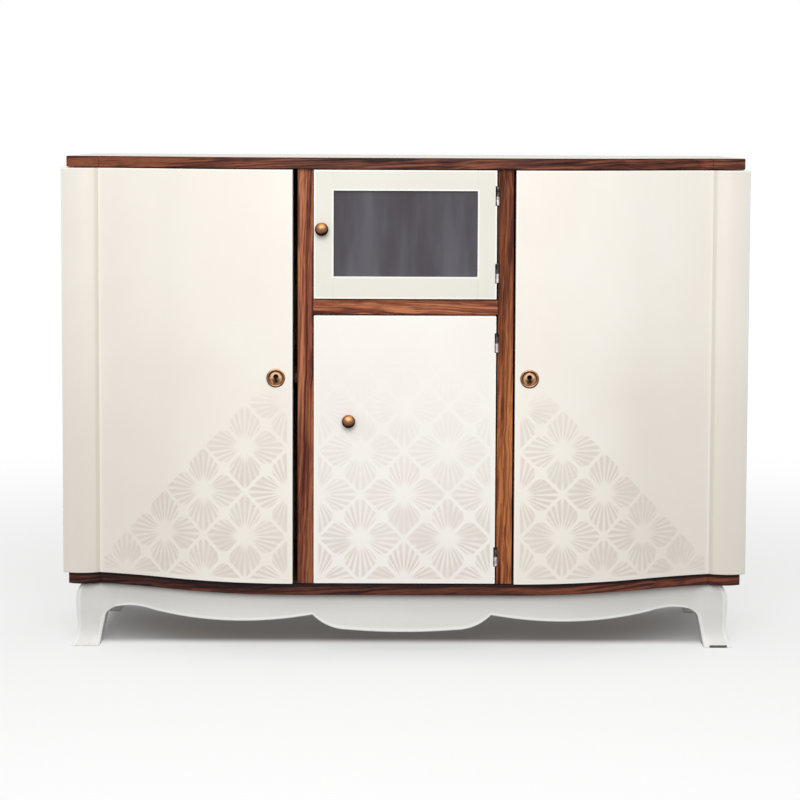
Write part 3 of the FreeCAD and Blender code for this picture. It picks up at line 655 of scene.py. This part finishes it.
def door_face(x):
    """Depth of a side door's face: the bow, then the pilaster's circular arc, the crease between them rounded by
    averaging over six millimetres, with a faint hollow along its line."""
    pilaster_half = (door_edge - groove_x) / 2
    arc_radius = (pilaster_half ** 2 + pilaster_bulge ** 2) / (2 * pilaster_bulge)
    fine = np.arange(0.20, door_edge + 0.0043, fine_step)
    off_middle = np.clip(fine - (groove_x + pilaster_half), -arc_radius, arc_radius)
    arc = pilaster_bulge - arc_radius + np.sqrt(arc_radius ** 2 - off_middle ** 2)
    depth = np.where(fine < groove_x, bow_depth(fine), arc)
    padded = np.pad(depth, averaged // 2, mode="edge")
    rounded = np.convolve(padded, np.full(averaged, 1 / averaged), mode="valid")
    hollow_line = crease_depth * np.exp(-((fine - groove_x) / crease_width) ** 2)
    near_crease = np.clip(1 - np.abs(fine - groove_x) / crease_reach, 0, 1)
    depth = depth + np.minimum(near_crease * 4, 1) * (rounded - depth) - hollow_line
    return door_proud + np.interp(np.abs(x), fine, depth)


def bowed_board(across, up, window):
    """Closed door over a grid of widths and heights: the face rolls over at its rim by quarter circles, the back lies
    a thickness behind with notches for the knuckles, and one window of the grid is left open."""
    edge_run = np.minimum(across - across[0], across[-1] - across)
    edge_rise = np.minimum(up - up[0], up[-1] - up)
    drop = rolled(edge_run, rim_ease)[None, :] + rolled(edge_rise, rim_ease)[:, None]
    face = door_face(across)[None, :] - drop
    rear_line = np.where(np.abs(across) < groove_x, bow_depth(across), 0) + door_proud - door_thick
    beside = np.abs(up[:, None] - knuckle_heights).min(axis=1) < knuckle_half
    notched = beside[:, None] & (np.abs(across) > knuckle_x)[None, :]
    rear = np.where(notched, notch_floor, rear_line[None, :])
    x, z = np.meshgrid(across, up)
    points = np.concatenate([
        np.stack([x, groove_y - face, z], axis=-1).reshape(-1, 3),
        np.stack([x, groove_y - rear, z], axis=-1).reshape(-1, 3)])
    number = np.arange(x.size).reshape(x.shape)
    left, right, low, high = window
    middle_x = (across[:-1] + across[1:]) / 2
    middle_z = (up[:-1] + up[1:]) / 2
    inside_x = (middle_x > left) & (middle_x < right)
    inside_z = (middle_z > low) & (middle_z < high)
    kept = grid_faces(up.size, across.size)[~(inside_z[:, None] & inside_x[None, :]).ravel()]
    columns = np.flatnonzero(inside_x)
    rows = np.flatnonzero(inside_z)
    opening = number[rows[0]:rows[-1] + 2, columns[0]:columns[-1] + 2]
    rim, frame_line = (np.hstack([g[0], g[1:, -1], g[-1, -2::-1], g[-2:0:-1, 0]]) for g in (number, opening))
    rim_next, line_next = np.roll(rim, -1), np.roll(frame_line, -1)
    walls = np.stack([rim, rim + x.size, rim_next + x.size, rim_next], axis=1)
    reveal = np.stack([frame_line, line_next, line_next + x.size, frame_line + x.size], axis=1)
    return points, np.concatenate([kept, kept[:, ::-1] + x.size, walls, reveal])


# Stencilled flower: diamonds with four petals each. With p and q the sum and difference of the two lattice
# steps, folded about each flower's middle, a petal is a rounded square in p and q, cut into rays that run
# out from a bare four-pointed star in the middle
stencil, entry, leave = effect("stencil", {"Across": "Float", "Up": "Float", "Crisp": "Float"}, {"Ink": "Float"})
petal_rays, petal_half, tip_round, side_round = 8, 0.445, 0.05, 0.22
petal_edge, ray_edge, star_edge = (0.015, -0.02), (-0.45, 0.85), (0.18, 0.46)
folds = [calc("PINGPONG", calc(way, entry["Across"], entry["Up"]), 1) for way in ("ADD", "SUBTRACT")]
offs = [minus(fold, 0.5) for fold in folds]
beside_axis = calc("LESS_THAN", times(*offs), 0)
rounding = times_plus(beside_axis, side_round, tip_round)
reach = minus(petal_half, rounding)
outs = [minus(calc("ABSOLUTE", off), reach) for off in offs]
squares = [calc("POWER", calc("MAXIMUM", out, 0), 2) for out in outs]
beyond = calc("SQRT", calc("ADD", *squares))
within = calc("MINIMUM", calc("MAXIMUM", *outs), 0)
petal = step(minus(calc("ADD", beyond, within), rounding), *petal_edge)
bearing = calc("ARCTAN2", folds[1], folds[0])
ray = step(calc("COSINE", times(bearing, 4 * petal_rays)), *ray_edge)
star = step(calc("MAXIMUM", *folds), *star_edge)
striped = times_plus(times(ray, entry["Crisp"]), -1, 1)
fill(leave, {"Ink": times(petal, striped, star)})


def unrolled(width):
    """Length along the bowed front from the end of the flat: the convex arc up to the turn, then the hollow one."""
    run = calc("DIVIDE", minus(width, flat_half), convex_radius)
    convex_length = times(calc("ARCSINE", run), convex_radius)
    centre_x = groove_x + hollow_radius * math.sin(hollow)
    back = calc("DIVIDE", minus(centre_x, width), hollow_radius)
    turned = minus(sweep, calc("ARCSINE", back))
    hollow_length = times_plus(turned, hollow_radius, convex_radius * sweep)
    past_turn = calc("GREATER_THAN", width, turn_x)
    change = minus(hollow_length, convex_length)
    return times_plus(past_turn, change, convex_length)


def lattice(length, height, flower):
    """Steps across and up from a first flower's middle, counted in the lattice's own widths and heights."""
    flower_run, flower_height, step_run, step_up = flower
    across = calc("DIVIDE", minus(length, flower_run), step_run)
    return across, calc("DIVIDE", minus(height, flower_height), step_up)


ink_colour = tint(224, 213, 204)
margin_edge = (0.009, 0.011)
crisp_patches, crisp_range, uneven_range = (0.36, 0.60), (0.35, 0.90), (0.45, 1.35)


def print_flowers(paint, panel, across, up, strength):
    """Stencil ink over the paint, uneven as a dry roller leaves it, with a plain margin along the panel's edges."""
    made, shader, position, painted = paint
    crisp = between(step(noise(position, 16, 2), *crisp_patches), *crisp_range)
    ink = place(stencil, Across=across, Up=up, Crisp=crisp)["Ink"]
    uneven = between(noise(position, 9, 4), *uneven_range)
    edges = place(rubbed_edges, Position=position, Reach=0.001, **open_box(panel))
    laid = times(ink, step(edges["Distance"], *margin_edge), uneven, strength)
    fill(shader, {"Base Color": blend(laid, painted, ink_colour)})
    return made


# Where the paint of a side door changes: widths or heights that one smooth step, or two, run between
# Painted shade low on the outer part, a painted highlight over the upper middle, and a painted shadow and highlight at
# the crease
pilaster_band, outer_step, low_shade_step, grey_and_shade_share = (0.618, 0.632, 0.702, 0.655), (0.40, 0.62), (0.80, 0.35), 0.42
painted_light_band, painted_light_step, painted_light_share = (0.28, 0.45, 0.62, 0.50), (0.52, 0.72), 0.5
crease_shadow_band, crease_shadow_share = (0.6240, 0.6252, 0.6350, 0.6285), 0.5
crease_highlight_band, crease_highlight_share = (0.6180, 0.6215, 0.6248, 0.6236), 0.45
painted_light_cream, grey_shade_cream = tint(255, 250, 240), tint(222, 215, 204)
crease_shadow_colour, crease_highlight_cream = tint(200, 192, 178), tint(253, 249, 240)


def shade_door(width, height, front, colour):
    """Paint of a side door: greyer on the pilaster, and low on the outer part as painted shade; a painted highlight
    over the upper middle; a painted shadow in the crease and a painted highlight line beside it."""
    low_shade = times(step(height, *low_shade_step), step(width, *outer_step))
    grey_and_shade = times(calc("ADD", band(width, *pilaster_band), low_shade), grey_and_shade_share)
    bright = times(step(height, *painted_light_step), band(width, *painted_light_band), painted_light_share)
    colour = blend(grey_and_shade, blend(bright, colour, painted_light_cream), grey_shade_cream)
    crease_shadow = times(band(width, *crease_shadow_band), crease_shadow_share, front)
    crease_highlight = times(band(width, *crease_highlight_band), crease_highlight_share, front)
    return blend(crease_highlight, blend(crease_shadow, colour, crease_shadow_colour), crease_highlight_cream)


# Where the first flower's middle lies on each door, along the front and up, and the two lattice steps
flower_places = {
    "left": (0.1055, 0.430, 0.0873, 0.0900), "right": (0.101, 0.4235, 0.0875, 0.0872),
    "lower": (-0.0014, 0.335, 0.0876, 0.0884)}
diagonal_edge, stronger_down, print_range = (1.02, 0.98), (0.60, 0.30), (0.5, 0.95)
key_fade = (key_height - 0.018, key_height - 0.062)
key_window = np.array([-0.006, 0.006]), np.array([-0.010, 0.009])
ease_run = rim_ease * (1 - np.cos(np.linspace(0, math.pi / 2, 6)))
notch_step = np.array([-0.0001, 0.0001])
for side, key in key_places.items():
    panel, pilaster = side + "_door_panel", side + "_door_pilaster"
    panel_box, pilaster_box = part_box(panel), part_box(pilaster)
    left, right = min(panel_box[0].x, pilaster_box[0].x), max(panel_box[1].x, pilaster_box[1].x)
    bottom, top = panel_box[0].z, panel_box[1].z
    made, shader, position, colour = cream_paint(
        side + "_door_paint", ((left, panel_box[0].y, bottom), (right, panel_box[1].y, top)), door_wear)
    axes = axes_of(position)
    width, front = calc("ABSOLUTE", axes["X"]), own_mask(shader, "front")
    across, up = lattice(unrolled(width), axes["Z"], flower_places[side])
    below_diagonal = step(calc("ADD", across, up), *diagonal_edge)
    faded = between(step(axes["Z"], *stronger_down), *print_range)
    strength = times(below_diagonal, front, step(axes["Z"], *key_fade), faded)
    paint = made, shader, position, shade_door(width, axes["Z"], front, colour)
    finish = print_flowers(paint, panel_box, across, up, strength)
    window = (*(key + key_window[0]), *(key_height + key_window[1]))
    outwards = math.copysign(1, key)
    widths = np.hstack([
        np.linspace(left + 0.002, right - 0.002, 101), left + ease_run, right - ease_run, window[:2],
        outwards * np.linspace(0.612, 0.640, 57), outwards * np.linspace(0.642, 0.698, 29),
        outwards * (knuckle_x + notch_step)])
    notch_ends = np.hstack([notch_step - knuckle_half, notch_step + knuckle_half])
    heights = np.hstack([
        np.linspace(bottom + 0.002, top - 0.002, 81), bottom + ease_run, top - ease_run, window[2:],
        (knuckle_heights[:, None] + notch_ends).ravel()])
    points, quads = bowed_board(np.unique(widths.round(5)), np.unique(heights.round(5)), window)
    piece = new_piece(side + "_door_board", points, quads, [], finish, side + "_door", "cream_paint", panel, pilaster)
    add_mask(piece, "front", np.repeat([1.0, 0.0], len(points) // 2))

# Glazed door: two stiles with two rails between them, cream paint on hardwood, halved at the corners, and square
# beads pinned in behind the pane.
low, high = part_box("glass_door_stiles")
left_stile, right_stile, low_rail, high_rail = 0.039, 0.038, 0.044, 0.041
pane_opening = {
    "Low": (low.x + left_stile, -1, low.z + low_rail), "High": (high.x - right_stile, 1, high.z - high_rail)}
for name in ("glass_door_stiles", "glass_door_rails", "glazing_beads"):
    made, shader, position, painted = cream_paint(
        "cream_" + name, (low, high), door_wear, tint(231, 228, 218), tint(224, 221, 211))
    # Painted highlight: a near-white line round the pane's opening
    from_pane = place(rubbed_edges, Position=position, Reach=0, **pane_opening)["Distance"]
    lip_highlight = times(step(from_pane, -highlight_reach[0], -highlight_reach[1]), highlight_share)
    fill(shader, {"Base Color": blend(lip_highlight, painted, rim_highlight_cream)})
    dress([name], made, ease=0.0006)

# Pane: a sheet of smoked glass, dark grey with a violet cast, glossy on both faces, held from behind by the
# beads. Wiping has left a faint cloudy film, whose lighter streaks also paint reflection on the pane.
smoked_glass, shader, position = material("smoked_glass", IOR=1.5, Transmission_Weight=0.3)
wiped_scale, film_patches, film_rough = (16.8, 7, 2.8), (0.30, 0.70), (0.02, 0.08)
clear, film_reflection_grey = tint(70, 63, 70), tint(106, 101, 113)
film_and_reflection = step(noise(position, wiped_scale, 3), *film_patches)
fill(shader, {"Base Color": blend(film_and_reflection, clear, film_reflection_grey), "Roughness": between(film_and_reflection, *film_rough)})
nodes["glass_pane"].material_slots[0].material = smoked_glass

# Lower centre door: one flat board, cream paint, with the same flowers stencilled in a field that fades upwards.
# It hangs on two butts at its right edge.
panel_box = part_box("lower_door_panel")
paint = cream_paint("lower_door_paint", panel_box, door_wear, tint(249, 245, 239), tint(242, 237, 230))
axes = axes_of(paint[2])
across, up = lattice(axes["X"], axes["Z"], flower_places["lower"])
field_fade = (0.66, 0.10)
front = step(axes["Y"], panel_box[0].y + 0.004, panel_box[0].y + 0.002)
strength = times(step(axes["Z"], *field_fade), front)
dress(["lower_door_panel"], print_flowers(paint, panel_box, across, up, strength), ease=0.0015)

# Hinges, locks and catches: drawn steel butts with countersunk screws, gone dark, the lower half of each barrel
# bright as bare steel and as a painted highlight, and plain iron lock cases, bolts, keeps and catch plates screwed on
# inside.
patina, entry, leave = effect("patina", {"Position": "Vector"}, {"Mask": "Float", "Height": "Float"})
blotch_scale, scratch_scale, bright_patches = 140, (2400, 2400, 160), (0.36, 0.68)
blotch = noise(entry["Position"], blotch_scale, 4)
scratches = noise(entry["Position"], scratch_scale, 2)
fill(leave, {"Mask": step(blotch, *bright_patches), "Height": times_plus(blotch, 0.6, scratches)})


def metal(name, relief):
    """Bare metal with the patina's relief; returns the material, its shader, the position and the patina's mask."""
    made, shader, position = material(name, Metallic=1)
    age = place(patina, Position=position)
    raise_surface(shader, age["Height"], relief)
    return made, shader, position, age["Mask"]


iron_relief = 0.00006
steel_rough, iron_rough = (0.5, 0.34), (0.6, 0.45)
dark_steel, grey_steel, bare_highlit_steel = tint(44, 40, 40), tint(104, 98, 94), tint(216, 208, 206)
dark_iron, grey_iron = tint(44, 40, 38), tint(86, 80, 75)
hinge_insets = {"glass_door_stiles": 0.051, "lower_door_panel": 0.054}
bared_half, bared_edge = 0.0095, 0.0015
hinge_steel, shader, position, age = metal("hinge_steel", iron_relief)
height = axes_of(position)["Z"]
bared_and_highlit = 0
for door, inset in hinge_insets.items():
    for barrel in (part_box(door)[0].z + inset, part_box(door)[1].z - inset):
        apart = calc("ABSOLUTE", minus(height, barrel - bared_half))
        bared_and_highlit = calc("MAXIMUM", bared_and_highlit, step(apart, bared_half, bared_half - bared_edge))
wear_and_light = times(bared_and_highlit, between(age, 0.5, 1))
colour = blend(wear_and_light, blend(age, dark_steel, grey_steel), bare_highlit_steel)
fill(shader, {"Base Color": colour, "Roughness": between(age, *steel_rough)})
lock_iron, shader, position, age = metal("lock_iron", iron_relief)
fill(shader, {"Base Color": blend(age, dark_iron, grey_iron), "Roughness": between(age, *iron_rough)})
dress([name for name in nodes if "hinge" in name], hinge_steel, ease=0.0002)
dress(["left_lock_case", "right_lock_case", "left_lock_bolt", "right_lock_bolt", "lock_keeps", "door_catches",
       "glass_door_catch_plate", "lower_door_catch_plate"], lock_iron, ease=0.0005)

# Escutcheons: turned brass keyhole plates let into the side doors, a sunk disc in a rolled ring, pinned on. The
# high places are rubbed bright, with painted light brighter where faces turn up and darker where they turn down,
# and the step between ring and disc is dark, as brown dirt and as painted shade.


def keyhole_reach(bearing):
    """Distance from the plate's middle to the keyhole's outline: a round head above it, a slot that flares below."""
    cosine, sine = np.cos(bearing), np.sin(bearing)
    head_up, head_radius = 0.0030, 0.0045
    slot_half, slot_down, flare, least = 0.0021, 0.0085, 0.13, 0.0001
    head = sine * head_up + np.sqrt(head_radius ** 2 - (cosine * head_up) ** 2)
    spread = np.maximum(np.abs(cosine) + flare * sine, least)
    slot = np.minimum(slot_half / spread, slot_down / np.maximum(-sine, least))
    return np.maximum(head, np.where(sine < 0, slot, 0))


def rubbed_metal(name, dirty, brown, bright, rough):
    """Metal from dirty through brown to bright by the piece's own mask of rubbing and painted light, broken up by the
    patina.
    """
    brass_relief, patina_share, brown_range, bright_range = 0.00002, 0.15, (0, 0.6), (0.62, 1)
    made, shader, position, age = metal(name, brass_relief)
    worn_and_lit = own_mask(shader, "wear_and_light")
    uneven = times_plus(minus(age, 0.5), patina_share, worn_and_lit)
    browned = blend(step(uneven, *brown_range), dirty, brown)
    colour = blend(step(uneven, *bright_range), browned, bright)
    fill(shader, {"Base Color": colour, "Roughness": between(worn_and_lit, *rough)})
    return made


def wear_and_light_round(radius, height, wear_and_light, bearing):
    """Rubbing of a turned piece, each row's own, plus painted light: brighter where its side faces up, darker where it
    faces down.
    """
    facing_light_share, least = 0.9, 0.000001
    run, rise = np.gradient(radius), np.gradient(height)
    sideways = rise / np.maximum(np.hypot(run, rise), least)
    return np.clip(wear_and_light[:, None] + facing_light_share * sideways[:, None] * np.sin(bearing), 0, 1).ravel()


escutcheon_brass = rubbed_metal(
    "escutcheon_brass", tint(40, 18, 8), tint(130, 92, 64), tint(208, 172, 138), rough=(0.5, 0.42))
# Rows from the keyhole's wall out to the rim: share from keyhole outline to circle, radius and
# height in millimetres, wear and light, dark in the step as dirt and as painted shade
plate_rows = np.array([
    (0, 0, -9, 0), (0, 0, 0.5, 0.1), (0.04, 13.5, 0.9, 0.6), (0.3, 13.5, 0.9, 0.8), (0.65, 13.5, 0.8, 0.8),
    (1, 12.6, 0.8, 0.65), (1, 13.6, 0.8, 0.1), (1, 14.2, 1.3, 0.2), (1, 14.6, 1.8, 0.4), (1, 15.3, 2.3, 0.5),
    (1, 16.2, 2.5, 0.6), (1, 17.1, 2.3, 0.55), (1, 17.9, 1.7, 0.5), (1, 18.6, 0.8, 0.3), (1, 19, -0.4, 0.1),
    (1, 19, -3.5, 0)]) * [1, 0.001, 0.001, 1]
full_turn, plate_points, ring_height = 2 * math.pi, 144, 0.0025
bearing = np.linspace(0, full_turn, plate_points, endpoint=False)
for side, key in key_places.items():
    share, radius, height, wear_and_light = (plate_rows[:, column, None] for column in range(4))
    reach = keyhole_reach(bearing)[None, :] * (1 - share) + share * radius
    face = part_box(side + "_escutcheon")[0].y + ring_height
    y = np.repeat(face - height, bearing.size, axis=1)
    points = np.stack([key + reach * np.cos(bearing), y, key_height + reach * np.sin(bearing)], axis=-1)
    quads = grid_faces(len(plate_rows), bearing.size, wrap_rows=True, wrap_columns=True)
    piece = new_piece(side + "_keyhole_plate", points.reshape(-1, 3), quads, [], escutcheon_brass, side + "_door",
                      "escutcheon_brass", side + "_escutcheon")
    add_mask(piece, "wear_and_light", wear_and_light_round(radius[:, 0], -height[:, 0], wear_and_light[:, 0], bearing))

# Knobs: turned brass drums with a low domed face on a short neck, screwed through the two centre doors, browned
# in the turnings, dark on the drum's sides as browning and as painted dark reflection, and rubbed on the face.
knob_bronze = rubbed_metal(
    "knob_bronze", tint(34, 12, 6), tint(132, 94, 72), tint(212, 150, 98), rough=(0.55, 0.5))
# Rows from the door outwards: share of the radius, share of the reach, wear and light
knob_rows = np.array([
    (0.62, 0, 0.1), (0.62, 0.06, 0.1), (0.56, 0.10, 0.1), (0.46, 0.14, 0), (0.42, 0.22, 0),
    (0.46, 0.32, 0), (0.62, 0.40, 0), (0.84, 0.45, 0), (0.95, 0.50, 0), (1, 0.57, 0),
    (1, 0.66, 0), (0.99, 0.71, 0), (0.95, 0.76, 0.05), (0.89, 0.80, 0.15), (0.82, 0.84, 0.35),
    (0.73, 0.88, 0.5), (0.62, 0.92, 0.6), (0.48, 0.955, 0.65), (0.32, 0.98, 0.65), (0.16, 0.995, 0.6),
    (0.04, 1, 0.6)])
knob_points = 72
bearing = np.linspace(0, full_turn, knob_points, endpoint=False)
for door in ("glass_door", "lower_door"):
    low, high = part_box(door + "_knob")
    reach = knob_rows[:, :1] * (high.x - low.x) / 2
    x = (low.x + high.x) / 2 + reach * np.cos(bearing)
    z = (low.z + high.z) / 2 + reach * np.sin(bearing)
    out = knob_rows[:, 1] * (high.y - low.y)
    y = np.repeat(high.y - out[:, None], bearing.size, axis=1)
    rings = np.stack([x, y, z], axis=-1)
    piece = tube_piece(door + "_turned_knob", rings, knob_bronze, door, "knob_bronze", door + "_knob")
    add_mask(piece, "wear_and_light", wear_and_light_round(reach[:, 0], out, knob_rows[:, 2], bearing))

# Studio: a pale floor that turns white away from the object and keeps its shadow, with a painted shadow over the
# object's footprint, a white surround, and one large soft lamp high in front.
floor_size = 14.0
mesh = bpy.data.meshes.new("floor")
corners = np.array([[-1, -1, 0], [1, -1, 0], [1, 1, 0], [-1, 1, 0]]) * floor_size
mesh.from_pydata(corners.tolist(), [], [[0, 1, 2, 3]])
floor = bpy.data.objects.new("floor", mesh)
bpy.context.scene.collection.objects.link(floor)


def seen_rays(tree):
    """1 for rays that see the surround itself: from the camera, off a gloss or through glass."""
    rays = tree.nodes.new("ShaderNodeLightPath").outputs
    mirrored = calc("MAXIMUM", rays["Is Glossy Ray"], rays["Is Transmission Ray"])
    return calc("MAXIMUM", rays["Is Camera Ray"], mirrored)


plain_white, shade_grey, open_grey = (1, 1, 1, 1), (0.55, 0.55, 0.55, 1), (0.30, 0.30, 0.30, 1)
floor_glow, ambient_glow = (0.08, 0.645), 0.60
floor_white, shader, position = material("floor_white", Roughness=0.9, Specular_IOR_Level=0)
shade_middle, shade_half, shade_edge, white_from = (0, 0.13, 0), (0.63, 0.18, 0), (0, 0.06), (0.2, 2.4)
off_middle = vector("ABSOLUTE", vector("SUBTRACT", position, shade_middle))
past = vector("MAXIMUM", vector("SUBTRACT", off_middle, shade_half), (0, 0, 0))
outside = add("VectorMath", {"operation": "LENGTH"}, {0: past}).outputs["Value"]
# Painted shadow: over the footprint the floor glows far less than outside it
beyond_painted_shadow = step(outside, *shade_edge)
fill(shader, {"Base Color": blend(beyond_painted_shadow, shade_grey, open_grey)})
part_glow = add("Emission", {}, {"Color": plain_white, "Strength": between(beyond_painted_shadow, *floor_glow)})
lit = add("AddShader", {}, {0: shader.outputs[0], 1: part_glow.outputs[0]})
tree = floor_white.node_tree
glow = fill(tree.nodes.new("ShaderNodeEmission"), {"Color": plain_white, "Strength": 1})
near = add("MixShader", {}, {0: step(outside, *white_from), 1: lit.outputs[0], 2: glow.outputs[0]})
shown = add("MixShader", {}, {0: seen_rays(tree), 1: shader.outputs[0], 2: near.outputs[0]})
fill(tree.nodes["Material Output"], {"Surface": shown.outputs[0]})
mesh.materials.append(floor_white)

world = bpy.data.worlds.new("surround")
bpy.context.scene.world = world
world.use_nodes = True
tree = world.node_tree
ambient = fill(tree.nodes["Background"], {"Color": plain_white, "Strength": ambient_glow})
white = fill(tree.nodes.new("ShaderNodeBackground"), {"Color": plain_white, "Strength": 1})
both = add("MixShader", {}, {0: seen_rays(tree), 1: ambient.outputs[0], 2: white.outputs[0]})
fill(tree.nodes["World Output"], {"Surface": both.outputs[0]})

lamp = bpy.data.lights.new("key_lamp", "AREA")
lamp.shape = "SQUARE"
lamp.size = 1.9
lamp.energy = 79
lamp_aim = mathutils.Vector((0, -0.2, 0.6))
holder = bpy.data.objects.new("key_lamp", lamp)
holder.location = (-0.15, -3.3, 2.15)
holder.rotation_euler = (holder.location - lamp_aim).to_track_quat("Z", "Y").to_euler()
bpy.context.scene.collection.objects.link(holder)

# Camera: level with the top of the cupboard, a long lens from the front, placed by the edges of doors, strips
# and feet.
stand = np.array([0.01478, -4.52538, 1.06994])
yaw, pitch, roll = 0.00697, -0.06611, 0.00459
focal_pixels, image_side, sensor = 2163.25, 800, 36
forward = np.array([math.sin(yaw) * math.cos(pitch), math.cos(yaw) * math.cos(pitch), math.sin(pitch)])
level = np.array([math.cos(yaw), -math.sin(yaw), 0])
upright = np.cross(level, forward)
right = math.cos(roll) * level + math.sin(roll) * upright
top = math.cos(roll) * upright - math.sin(roll) * level
lens = bpy.data.cameras.new("camera")
lens.sensor_width = sensor
lens.lens = focal_pixels / image_side * sensor
lens.shift_x = -0.03519
lens.shift_y = -0.1625
camera = bpy.data.objects.new("camera", lens)
turned = np.eye(4)
turned[:3] = np.column_stack([right, top, -forward, stand])
camera.matrix_world = mathutils.Matrix(turned.tolist())
bpy.context.scene.collection.objects.link(camera)
bpy.context.scene.camera = camera
bpy.context.scene.view_settings.view_transform = "Standard"
